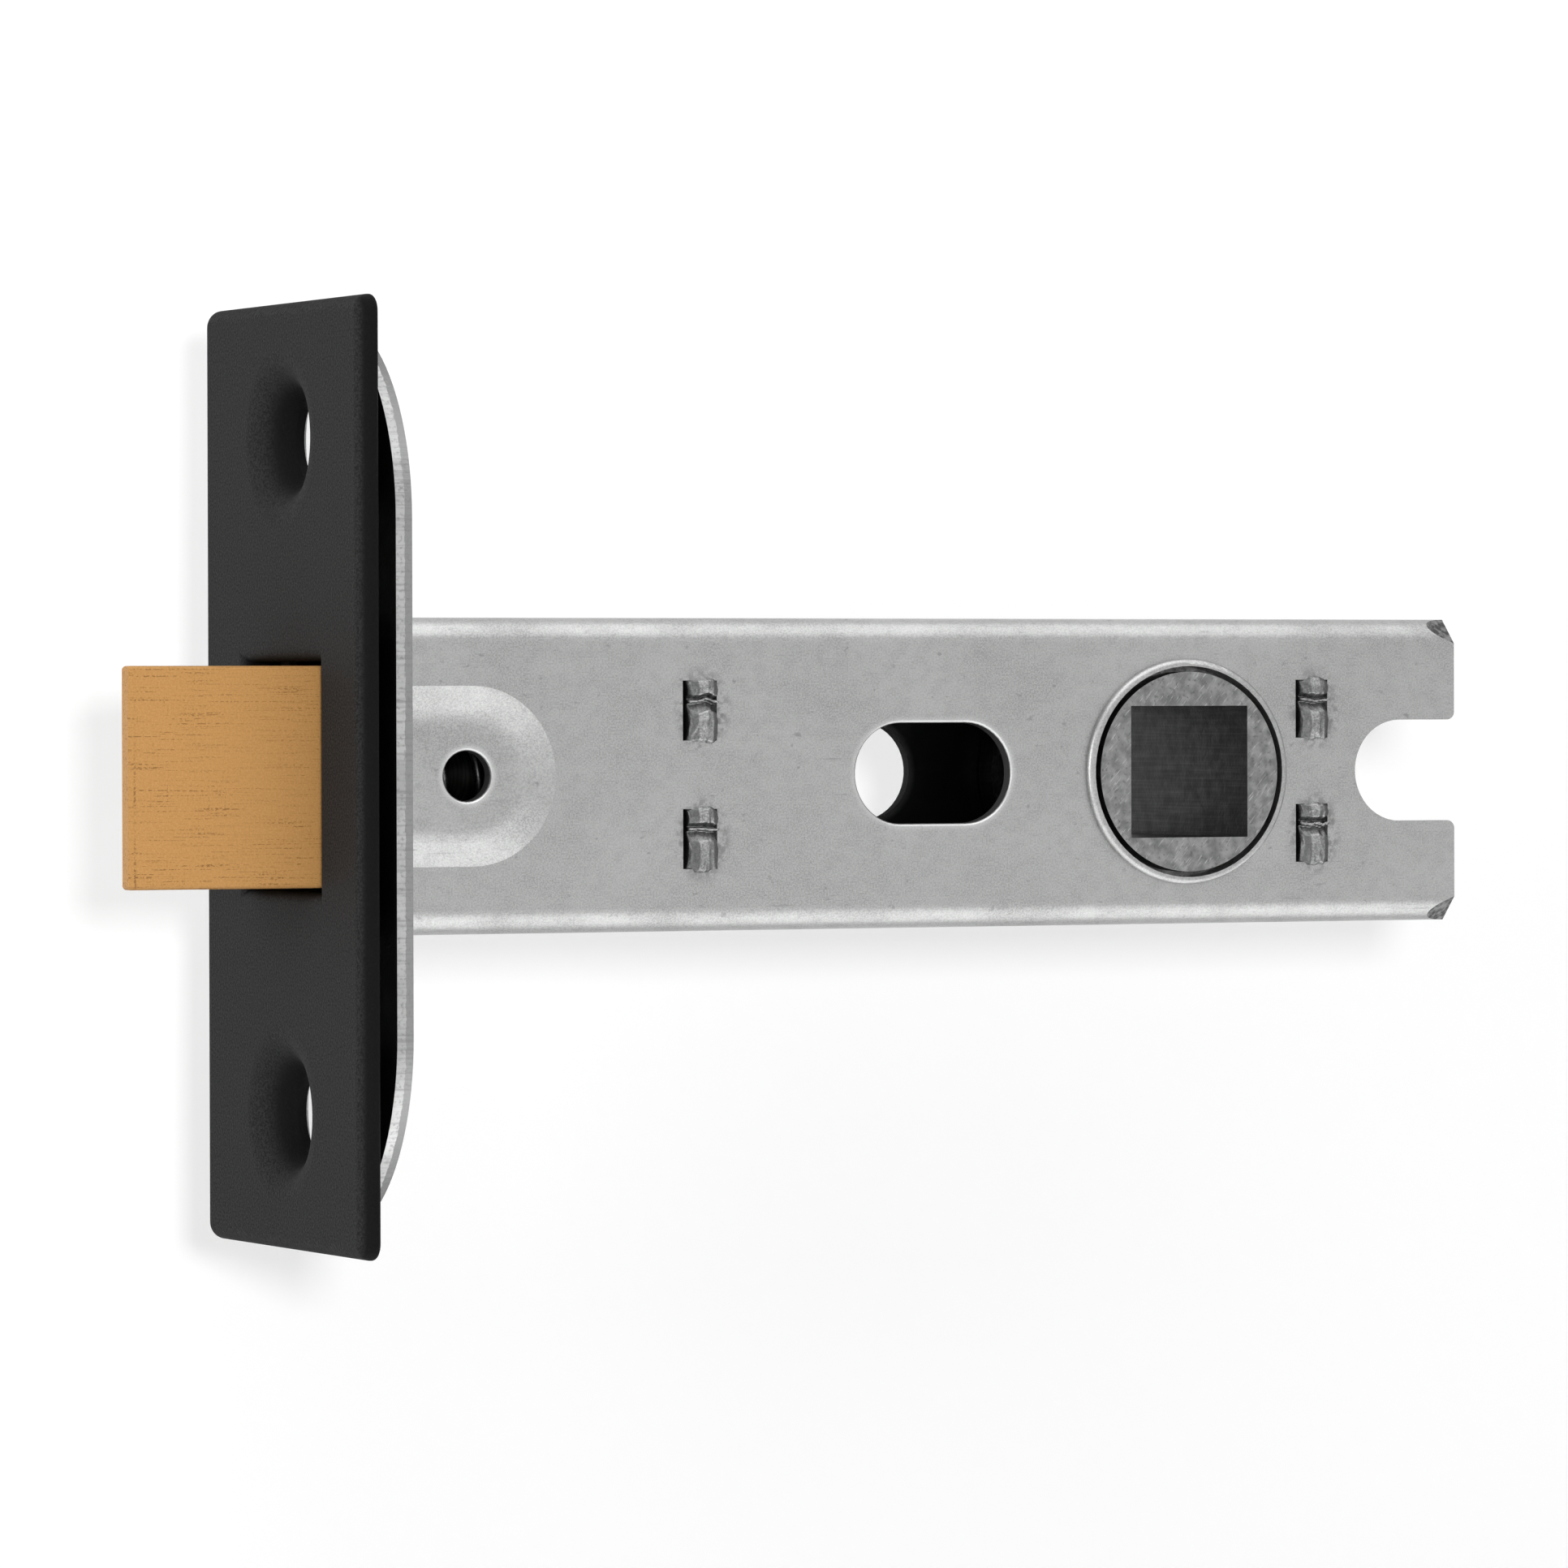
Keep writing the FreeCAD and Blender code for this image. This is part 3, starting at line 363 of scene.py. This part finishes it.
def struck_tab_tree(name, finish):
    """One tab's end: a fine grid raised to two struck lobes, with its rim led down to the tab's root.

    u and v run from -1 to 1 over the end, u across the plate's thickness and v up the tab.
    """
    tree = bpy.data.node_groups.new(name, "GeometryNodeTree")
    keys = size_inputs(tree, ("Front", "Thickness", "Level", "Height", "Side", "Root", "Foot", "Rise",
                              "Unevenness", "Seed"))
    sizes = tree.nodes.new("NodeGroupInput").outputs
    grid = tree.nodes.new("GeometryNodeMeshGrid")
    grid.inputs["Size X"].default_value = grid_span
    grid.inputs["Size Y"].default_value = grid_span
    grid.inputs["Vertices X"].default_value = grid_columns
    grid.inputs["Vertices Y"].default_value = grid_rows
    place = tree.nodes.new("GeometryNodeInputPosition").outputs["Position"]
    across = part_of(tree, place, "X")
    along = part_of(tree, place, "Y")
    u = held(tree, across)
    v = held(tree, along)

    wander = tree.nodes.new("ShaderNodeTexNoise")
    wander.noise_dimensions = "4D"
    wander.inputs["Scale"].default_value = lobe_wander
    tree.links.new(place, wander.inputs["Vector"])
    tree.links.new(sizes["Seed"], wander.inputs["W"])
    drift = times(tree, minus(tree, wander.outputs["Fac"], 0.5), lobe_drift)
    struck_s = plus(tree, times(tree, plus(tree, u, 1.0), 0.5), drift)
    struck_t = plus(tree, times(tree, plus(tree, v, 1.0), 0.5), drift)
    crown = struck_profile(tree, struck_s, lobe_across)
    lobes = times(tree, crown, struck_profile(tree, struck_t, lobe_along))
    lobes = larger(tree, lobes, struck_profile(tree, struck_t, fin_along))

    top = plus(tree, sizes["Foot"], times(tree, lobes, sizes["Rise"]))
    top = plus(tree, top, times(tree, drift, times(tree, sizes["Unevenness"], drift_relief)))
    rim = larger(tree, unsigned(tree, across), unsigned(tree, along))
    drop = times(tree, minus(tree, sizes["Root"], top), ramp(tree, rim, 1.0, rim_reach))
    depth = times(tree, plus(tree, top, drop), sizes["Side"])

    u_squared = times(tree, u, u)
    v_squared = times(tree, v, v)
    spread = times(tree, times(tree, v_squared, v_squared), end_spread)
    u = plus(tree, u, times(tree, combine(tree, "MINIMUM", u, 0.0), spread))
    v = times(tree, v, minus(tree, 1.0, times(tree, u_squared, end_rounding)))
    turned_u = times(tree, times(tree, u, sizes["Side"]), -0.5)
    reach = times(tree, plus(tree, turned_u, 0.5), sizes["Thickness"])
    rise = times(tree, times(tree, v, 0.5), sizes["Height"])
    shape = moved(tree, grid.outputs["Mesh"], plus(tree, sizes["Front"], reach), depth,
                  plus(tree, sizes["Level"], rise))
    close_tree(tree, shape, finish)
    return tree, keys


def grown(tree, keys, values):
    """The plain mesh that a geometry tree makes with these sizes."""
    seed = bpy.data.objects.new("seed", bpy.data.meshes.new("seed"))
    bpy.context.scene.collection.objects.link(seed)
    grower = seed.modifiers.new("grower", "NODES")
    grower.node_group = tree
    for label, value in values.items():
        grower[keys[label]] = value
    bpy.context.view_layer.update()
    ready = seed.evaluated_get(bpy.context.evaluated_depsgraph_get())
    mesh = bpy.data.meshes.new_from_object(ready)
    bpy.data.objects.remove(seed)
    return mesh


def placed(name, mesh, finish):
    """A finished piece at the origin, with one material."""
    mesh.name = name
    mesh.materials.clear()
    mesh.materials.append(finish)
    piece = bpy.data.objects.new(name, mesh)
    bpy.context.scene.collection.objects.link(piece)
    return piece


def struck_flank_shade(tree, place, colour):
    """Painted shade on the flanks of the struck lobes, on both sides of their flattened tops; no wall is
    shaded.
    """
    facing_x = part_of(tree, place.outputs["Normal"], "X")
    flank_shade = ramp(tree, unsigned(tree, facing_x), 0.08, 0.42, to_high=0.75)
    return tint(tree, flank_shade, colour, tab_flank_painted_shade), 0.0


tab_finish = zinc_plate("struck_zinc_tabs", tab_grey, tab_cloud, struck_flank_shade)
tab_tree, tab_keys = struck_tab_tree("struck_tab", tab_finish)
for bridge, first_seed in (("front_bridge", 1.0), ("rear_bridge", 21.0)):
    bridge_low, bridge_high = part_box(bridge)
    shape = bmesh.new()
    shape.from_mesh(nodes[bridge].data)
    bmesh.ops.remove_doubles(shape, verts=shape.verts, dist=weld_distance)
    tab_faces = [f for f in shape.faces if abs(f.calc_center_median().y) > tab_root + root_margin]
    bmesh.ops.delete(shape, geom=tab_faces, context="FACES")
    for face in shape.faces:
        face.smooth = False
    seed_number = first_seed
    for side in (-1.0, 1.0):
        for level in (tab_level, -tab_level):
            tab = grown(tab_tree, tab_keys, {
                "Front": bridge_low.x,
                "Thickness": bridge_high.x - bridge_low.x + tab_overhang,
                "Level": level,
                "Height": tab_height,
                "Side": side,
                "Root": tab_root,
                "Foot": case_side - tab_sink,
                "Rise": tab_rise,
                "Unevenness": tab_unevenness,
                "Seed": seed_number,
            })
            tab.shade_smooth()
            shape.from_mesh(tab)
            bpy.data.meshes.remove(tab)
            seed_number += seed_step
    mesh = bpy.data.meshes.new(bridge)
    shape.to_mesh(mesh)
    shape.free()
    struck = placed(bridge.replace("bridge", "struck_bridge"), mesh, tab_finish)
    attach(struck, "case")
    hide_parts(bridge)

# Guide pin: a turned steel pin riveted into the front bridge, which keeps the spring straight.
# It is bright drawn bar with fine turning marks round it.
steel_grey = (0.30, 0.30, 0.30, 1)
steel_dark = (0.16, 0.16, 0.165, 1)
steel_line_width = 0.00012
steel_relief = 0.000008


def plain_steel(name, stretch):
    """Bare steel with drawn or turned lines; stretch gives their direction."""
    finish, tree, shader, place = new_finish(name)
    shader.inputs["Metallic"].default_value = 1.0
    lines = speckle(tree, place, steel_line_width, stretch=stretch, detail=3.0)
    colour = tint(tree, ramp(tree, lines, 0.35, 0.7), steel_grey, steel_dark)
    tree.links.new(colour, shader.inputs["Base Color"])
    tree.links.new(ramp(tree, lines, 0.2, 0.8, 0.3, 0.5), shader.inputs["Roughness"])
    roughen(tree, shader, lines, steel_relief)
    return finish


nodes["spring_guide_pin"].data.materials[0] = plain_steel("turned_steel", (1, 30, 30))

# Bolt spring: a compression spring coiled from drawn wire, with a closed coil at each end.
# It sits between the front bridge and the bottom of the bolt's bore, and shortens as the bolt goes in.
spring_low, spring_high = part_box("bolt_spring")
spring_length = spring_high.x - spring_low.x
wire_radius = 0.00025
coil_radius = (spring_high.z - spring_low.z) / 2 - wire_radius
coil_turns = 12.5
closed_turns = 1.25
closed_pitch = 2.1
coil_steps = 500
wire_sides = 12


def coil_tree(name, finish):
    """A helix whose pitch closes up at both ends, swept with round wire."""
    tree = bpy.data.node_groups.new(name, "GeometryNodeTree")
    keys = size_inputs(tree, ("Front", "Length", "Coil radius", "Wire radius", "Turns", "Closed turns"))
    sizes = tree.nodes.new("NodeGroupInput").outputs
    line = tree.nodes.new("GeometryNodeCurvePrimitiveLine")
    steps = tree.nodes.new("GeometryNodeResampleCurve")
    steps.inputs["Count"].default_value = coil_steps
    tree.links.new(line.outputs["Curve"], steps.inputs["Curve"])
    along = tree.nodes.new("GeometryNodeSplineParameter").outputs["Factor"]
    turn = times(tree, along, sizes["Turns"])

    front_part = combine(tree, "MINIMUM", turn, sizes["Closed turns"])
    last_start = minus(tree, sizes["Turns"], sizes["Closed turns"])
    rear_part = larger(tree, minus(tree, turn, last_start), 0.0)
    closed_part = plus(tree, front_part, rear_part)
    open_turns = minus(tree, last_start, sizes["Closed turns"])
    open_part = combine(tree, "DIVIDE", minus(tree, turn, closed_part), open_turns)

    closed_rise = times(tree, sizes["Wire radius"], closed_pitch)
    closed_length = times(tree, times(tree, sizes["Closed turns"], 2.0), closed_rise)
    wire_ends = times(tree, sizes["Wire radius"], 2.0)
    open_length = minus(tree, minus(tree, sizes["Length"], wire_ends), closed_length)
    rise = plus(tree, times(tree, closed_part, closed_rise), times(tree, open_part, open_length))

    across = plus(tree, plus(tree, sizes["Front"], sizes["Wire radius"]), rise)
    angle = times(tree, turn, math.tau)
    depth = times(tree, combine(tree, "COSINE", angle), sizes["Coil radius"])
    height = times(tree, combine(tree, "SINE", angle), sizes["Coil radius"])
    helix = moved(tree, steps.outputs["Curve"], across, depth, height)
    wire = tree.nodes.new("GeometryNodeCurvePrimitiveCircle")
    wire.inputs["Resolution"].default_value = wire_sides
    tree.links.new(sizes["Wire radius"], wire.inputs["Radius"])
    sweep = tree.nodes.new("GeometryNodeCurveToMesh")
    sweep.inputs["Fill Caps"].default_value = True
    tree.links.new(helix, sweep.inputs["Curve"])
    tree.links.new(wire.outputs["Curve"], sweep.inputs["Profile Curve"])
    close_tree(tree, sweep.outputs["Mesh"], finish)
    return tree, keys


wire_finish = plain_steel("drawn_spring_wire", (1, 1, 1))
spring_tree, spring_keys = coil_tree("coil_of_wire", wire_finish)
coil = grown(spring_tree, spring_keys, {
    "Front": spring_low.x,
    "Length": spring_length,
    "Coil radius": coil_radius,
    "Wire radius": wire_radius,
    "Turns": coil_turns,
    "Closed turns": closed_turns,
})
coil.shade_smooth()
spring = placed("sprung_coil", coil, wire_finish)
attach(spring, "case")
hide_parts("bolt_spring")
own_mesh(spring)

# Latch bolt: a bar of solid brass with a curved bevel on its far side, sawn and linished.
# The flat side keeps fine lines along the bolt, with dark dots where the abrasive dug in.
brass = (0.450, 0.232, 0.074, 1)
brass_light = (0.520, 0.278, 0.093, 1)
brass_dark = (0.200, 0.092, 0.028, 1)
brass_grain = 0.00011
brass_line_width = 0.00010
brass_dot_size = 0.00013
brass_patch_size = 0.003
brass_relief = 0.000005
nose_line = 0.0004
nose_line_width = 0.00009
nose_worn_low = -0.001
nose_worn_high = 0.003
dots_low = -0.006
dots_high = 0.006

bolt_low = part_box("latch_bolt")[0]
bolt_finish, tree, shader, place = new_finish("linished_brass")
shader.inputs["Metallic"].default_value = 0.15
shader.inputs["Specular IOR Level"].default_value = 0.25
across = part_of(tree, place.outputs["Object"], "X")
height = part_of(tree, place.outputs["Object"], "Z")
grain = speckle(tree, place, brass_grain)
lines = speckle(tree, place, brass_line_width, stretch=(45, 1, 1))
cross_lines = speckle(tree, place, brass_line_width, stretch=(1, 1, 25))
breaks = speckle(tree, place, brass_dot_size, stretch=(1.4, 1, 1), detail=3.0)
patches = speckle(tree, place, brass_patch_size, stretch=(2.5, 1, 1))
nose = near_place(tree, across, bolt_low.x + nose_line, nose_line_width)
nose = ramp(tree, nose, 0.3, 1.0, 1.0, 0.0)
nose = times(tree, nose, ramp(tree, height, nose_worn_low, nose_worn_high, 0.9, 0.2))
scored = larger(tree, ramp(tree, lines, 0.54, 0.63), ramp(tree, cross_lines, 0.62, 0.72, to_high=0.6))
scored = larger(tree, scored, nose)
dots = times(tree, scored, ramp(tree, breaks, 0.45, 0.58))
low_down = ramp(tree, height, dots_low, dots_high, 0.06, 0.0)
dots = times(tree, dots, ramp(tree, plus(tree, patches, low_down), 0.36, 0.64, 0.32, 0.82))
colour = tint(tree, ramp(tree, grain, 0.32, 0.68), brass, brass_light)
colour = tint(tree, dots, colour, brass_dark)
tree.links.new(colour, shader.inputs["Base Color"])
tree.links.new(ramp(tree, lines, 0.3, 0.7, 0.50, 0.62), shader.inputs["Roughness"])
roughen(tree, shader, lines, brass_relief)
nodes["latch_bolt"].data.materials[0] = bolt_finish

# Stirrup and its rivets: a bent steel strap that ties the bolt's tail to the follower's horns.
# Two steel rivets hold its web to the back of the bolt.
strap_finish = plain_steel("rolled_steel_strap", (40, 1, 1))
for piece in ("bolt_stirrup", "upper_stirrup_rivet", "lower_stirrup_rivet"):
    nodes[piece].data.materials[0] = strap_finish

# Follower: a zinc die casting with a square hole for the spindle, broached through.
# Its end faces are dull and blotchy from the mould, and the hole has long broach lines in it, over near
# black painted shade on its walls.
cast_grey = (0.150, 0.153, 0.151, 1)
cast_light = (0.285, 0.289, 0.285, 1)
cast_dark = (0.075, 0.076, 0.076, 1)
hole_painted_shade = (0.025, 0.025, 0.025, 1)
blotch_size = 0.0008
cast_grain = 0.00025
cast_relief = 0.000015
scratch_width = 0.00008
scratch_turn = (0, 0.7, 0)
broach_line_width = 0.00012

follower_finish, tree, shader, place = new_finish("die_cast_zinc")
shader.inputs["Metallic"].default_value = 1.0
facing_y = part_of(tree, place.outputs["Normal"], "Y")
blotches = speckle(tree, place, blotch_size, detail=6.0)
scratches = speckle(tree, place, scratch_width, stretch=(1, 1, 9), detail=3.0, turn=scratch_turn)
grains = speckle(tree, place, cast_grain, detail=3.0)
broach = speckle(tree, place, broach_line_width, stretch=(1, 60, 1))
colour = tint(tree, ramp(tree, blotches, 0.30, 0.72), cast_grey, cast_light)
colour = tint(tree, ramp(tree, scratches, 0.58, 0.72, to_high=0.4), colour, zinc_bright_and_highlight)
colour = tint(tree, ramp(tree, grains, 0.56, 0.72, to_high=0.55), colour, cast_dark)
# Faces turned side-on, the hole walls and edges, are painted near black as shade, with broach lines over
# it.
shaded_broach_streaks = tint(tree, ramp(tree, broach, 0.40, 0.80, to_high=0.40), hole_painted_shade, cast_dark)
side_on = ramp(tree, unsigned(tree, facing_y), 0.2, 0.5, 1.0, 0.0)
colour = tint(tree, side_on, colour, shaded_broach_streaks)
tree.links.new(colour, shader.inputs["Base Color"])
tree.links.new(ramp(tree, blotches, 0.3, 0.7, 0.5, 0.38), shader.inputs["Roughness"])
roughen(tree, shader, grains, cast_relief)
nodes["follower"].data.materials[0] = follower_finish

# Inner forend: a stamped plate of zinc plated steel with round ends, staked to the front of the case.
# Its sheared edge has a smooth burnished band and a bright torn band with fine lines across.
forend_low, forend_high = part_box("inner_forend")
gauge = forend_high.x - forend_low.x
burnished_grey = (0.262, 0.265, 0.263, 1)
end_painted_shade = (0.130, 0.132, 0.131, 1)
torn_bright = (0.450, 0.454, 0.450, 1)
shaded_front = (0.050, 0.050, 0.050, 1)
torn_full = forend_low.x + 0.62 * gauge
torn_stop = forend_low.x + 0.69 * gauge
ragged_size = 0.00035
ragged_reach = 0.00024
torn_patch_size = 0.004
score_width = 0.00018
score_relief = 0.00002
pit_size = 0.00022

forend_finish, tree, shader, place = new_finish("sheared_zinc_plate")
shader.inputs["Metallic"].default_value = 1.0
shader.inputs["Roughness"].default_value = 0.42
across = part_of(tree, place.outputs["Object"], "X")
facing_x = part_of(tree, place.outputs["Normal"], "X")
facing_z = part_of(tree, place.outputs["Normal"], "Z")
ragged = speckle(tree, place, ragged_size, stretch=(1.5, 1, 1), detail=5.0)
torn_patches = speckle(tree, place, torn_patch_size, detail=3.0)
scores = speckle(tree, place, score_width, stretch=(20, 1, 1), detail=3.0)
pits = speckle(tree, place, pit_size, detail=4.0)
# The rounded ends of the sheared edge, facing up or down, are painted darker as shade.
end_on = ramp(tree, unsigned(tree, facing_z), 0.15, 0.70, to_high=0.75)
burnished_and_end_shade = tint(tree, end_on, burnished_grey, end_painted_shade)
torn_end = plus(tree, across, times(tree, ragged, ragged_reach))
torn = ramp(tree, torn_end, torn_full, torn_stop, 1.0, 0.0)
torn = times(tree, torn, ramp(tree, torn_patches, 0.30, 0.65, to_low=0.45))
colour = tint(tree, torn, burnished_and_end_shade, torn_bright)
colour = tint(tree, ramp(tree, scores, 0.45, 0.75, to_high=0.6), colour, zinc_fleck)
colour = tint(tree, ramp(tree, pits, 0.50, 0.72, to_high=0.7), colour, zinc_fleck)
front_face = ramp(tree, facing_x, -0.9, -0.7, 1.0, 0.0)
colour = tint(tree, front_face, colour, shaded_front)
tree.links.new(colour, shader.inputs["Base Color"])
roughen(tree, shader, scores, score_relief)
nodes["inner_forend"].data.materials[0] = forend_finish

# Faceplate: a pressed steel cover with two drawn screw dimples, powder coated matt black.
# The coat has a fine, even grain, and its front face is painted lighter than its edges, as painted light.
coat_black = (0.0040, 0.0040, 0.0041, 1)
coat_front_light = (0.0090, 0.0090, 0.0092, 1)
coat_front_light_grain = (0.0270, 0.0270, 0.0274, 1)
coat_peel_size = 0.00018
coat_peel_relief = 0.000040
coat_grain = 0.00012

face_finish, tree, shader, place = new_finish("matt_black_powder_coat")
shader.inputs["Specular IOR Level"].default_value = 0.08
facing_x = part_of(tree, place.outputs["Normal"], "X")
peel = speckle(tree, place, coat_peel_size, detail=3.0)
grain = speckle(tree, place, coat_grain, detail=1.0)
# The front face is painted lighter than the edges, as painted light, with the grain over it.
front = ramp(tree, facing_x, -0.95, -0.55, 1.0, 0.0)
front_painted_light = tint(tree, ramp(tree, grain, 0.3, 0.7), coat_front_light, coat_front_light_grain)
tree.links.new(tint(tree, front, coat_black, front_painted_light), shader.inputs["Base Color"])
tree.links.new(ramp(tree, peel, 0.3, 0.7, 0.64, 0.74), shader.inputs["Roughness"])
roughen(tree, shader, peel, coat_peel_relief)
nodes["faceplate"].data.materials[0] = face_finish

# Stage: a white board behind the latch, a pale floor below it and soft lights above and below.
# The board and the floor keep a faint shadow and show white to the camera and in the metal.
board_gap = 0.020
board_size = 1.2
floor_drop = 0.03
board_white = 0.45
board_pale = (0.58, 0.58, 0.58, 1)
room_light = 0.35
low_lamp_place = (0.035, -0.055)
low_lamp_lift = 0.004


def seen_directly(tree):
    """1 where the camera sees a thing, also in metal or through a gap, and 0 where it only gives light."""
    rays = tree.nodes.new("ShaderNodeLightPath")
    seen = larger(tree, rays.outputs["Is Camera Ray"], rays.outputs["Is Glossy Ray"])
    return larger(tree, seen, rays.outputs["Is Transmission Ray"])


def white_board(name, one_sided):
    """A pale diffuse surface that also shows white by itself to the camera and in reflections."""
    board = bpy.data.materials.new(name)
    board.use_nodes = True
    tree = board.node_tree
    tree.nodes.clear()
    paper = tree.nodes.new("ShaderNodeBsdfDiffuse")
    paper.inputs["Color"].default_value = board_pale
    glow = tree.nodes.new("ShaderNodeEmission")
    tree.links.new(times(tree, seen_directly(tree), board_white), glow.inputs["Strength"])
    both = tree.nodes.new("ShaderNodeAddShader")
    tree.links.new(paper.outputs["BSDF"], both.inputs[0])
    tree.links.new(glow.outputs["Emission"], both.inputs[1])
    surface = both.outputs["Shader"]
    if one_sided:
        clear = tree.nodes.new("ShaderNodeBsdfTransparent")
        side = tree.nodes.new("ShaderNodeNewGeometry")
        choose = tree.nodes.new("ShaderNodeMixShader")
        tree.links.new(side.outputs["Backfacing"], choose.inputs["Fac"])
        tree.links.new(surface, choose.inputs[1])
        tree.links.new(clear.outputs["BSDF"], choose.inputs[2])
        surface = choose.outputs["Shader"]
    output = tree.nodes.new("ShaderNodeOutputMaterial")
    tree.links.new(surface, output.inputs["Surface"])
    return board


def stage_sheet(name, corners, finish):
    """One flat sheet of the stage, which is no part of the latch."""
    mesh = bpy.data.meshes.new(name)
    mesh.from_pydata(corners, [], [(0, 1, 2, 3)])
    mesh.materials.append(finish)
    sheet = bpy.data.objects.new(name, mesh)
    bpy.context.scene.collection.objects.link(sheet)


def soft_light(name, place, target, width, height, power):
    """A soft rectangular lamp at a place, turned to a target; its power is in watts."""
    lamp = bpy.data.lights.new(name, "AREA")
    lamp.shape = "RECTANGLE"
    lamp.size = width
    lamp.size_y = height
    lamp.energy = power
    light = bpy.data.objects.new(name, lamp)
    bpy.context.scene.collection.objects.link(light)
    light.location = place
    light.rotation_euler = (Vector(target) - Vector(place)).to_track_quat("-Z", "Y").to_euler()
    return light


board_y = cad_high.y + board_gap
floor_z = cad_low.z - floor_drop
half_board = board_size / 2
stage_sheet("white_backdrop", [
    (-half_board, board_y, floor_z), (half_board, board_y, floor_z),
    (half_board, board_y, half_board), (-half_board, board_y, half_board),
], white_board("backdrop_white", one_sided=True))
stage_sheet("pale_floor", [
    (-half_board, -half_board, floor_z), (half_board, -half_board, floor_z),
    (half_board, half_board, floor_z), (-half_board, half_board, floor_z),
], white_board("floor_white", one_sided=False))

latch_middle = ((cad_low.x + cad_high.x) / 2, 0, 0)
soft_light("top_softbox", (0.06, -0.30, 0.34), latch_middle, width=0.6, height=0.3, power=0.66)
soft_light("upper_softbox", (0.06, -0.08, 0.42), latch_middle, width=0.6, height=0.25, power=0.55)
soft_light("side_softbox", (-0.50, -0.15, 0.08), latch_middle, width=0.3, height=0.3, power=1.1)
low_lamp = soft_light("low_softbox", (*low_lamp_place, floor_z + low_lamp_lift), (*low_lamp_place, 0),
                      width=0.24, height=0.10, power=0.085)
low_lamp.visible_diffuse = False
key_lamp = soft_light("key_softbox", (-0.172, -0.553, 0.036), latch_middle,
                      width=0.040, height=0.040, power=1.4)
key_lamp.visible_glossy = False

world = bpy.data.worlds.new("white_room")
bpy.context.scene.world = world
world.use_nodes = True
air = world.node_tree
sky = air.nodes["Background"]
sky.inputs["Color"].default_value = (1, 1, 1, 1)
air.links.new(ramp(air, seen_directly(air), 0.0, 1.0, to_low=room_light), sky.inputs["Strength"])

# Camera: a long lens to the left of the latch and level with it, framed as the photograph is.
# The lens and the picture are in pixels of the photograph, and the places in metres.
image_pixels = 1932
focal_pixels = 10247
view_azimuth = math.radians(25.34)
view_elevation = math.radians(0.546)
view_roll = math.radians(-0.153)
view_distance = 0.5090
view_centre = Vector((0.03314, 0, -0.00067))

lens = bpy.data.cameras.new("photo_lens")
lens.sensor_width = 36
lens.lens = focal_pixels * lens.sensor_width / image_pixels
camera = bpy.data.objects.new("photo_camera", lens)
bpy.context.scene.collection.objects.link(camera)
bpy.context.scene.camera = camera
turn = (Matrix.Rotation(-view_azimuth, 4, "Z") @ Matrix.Rotation(math.pi / 2 - view_elevation, 4, "X")
        @ Matrix.Rotation(view_roll, 4, "Z"))
backward = turn @ Vector((0, 0, 1))
camera.matrix_world = Matrix.Translation(view_centre + backward * view_distance) @ turn

bpy.context.scene.view_settings.view_transform = "Standard"
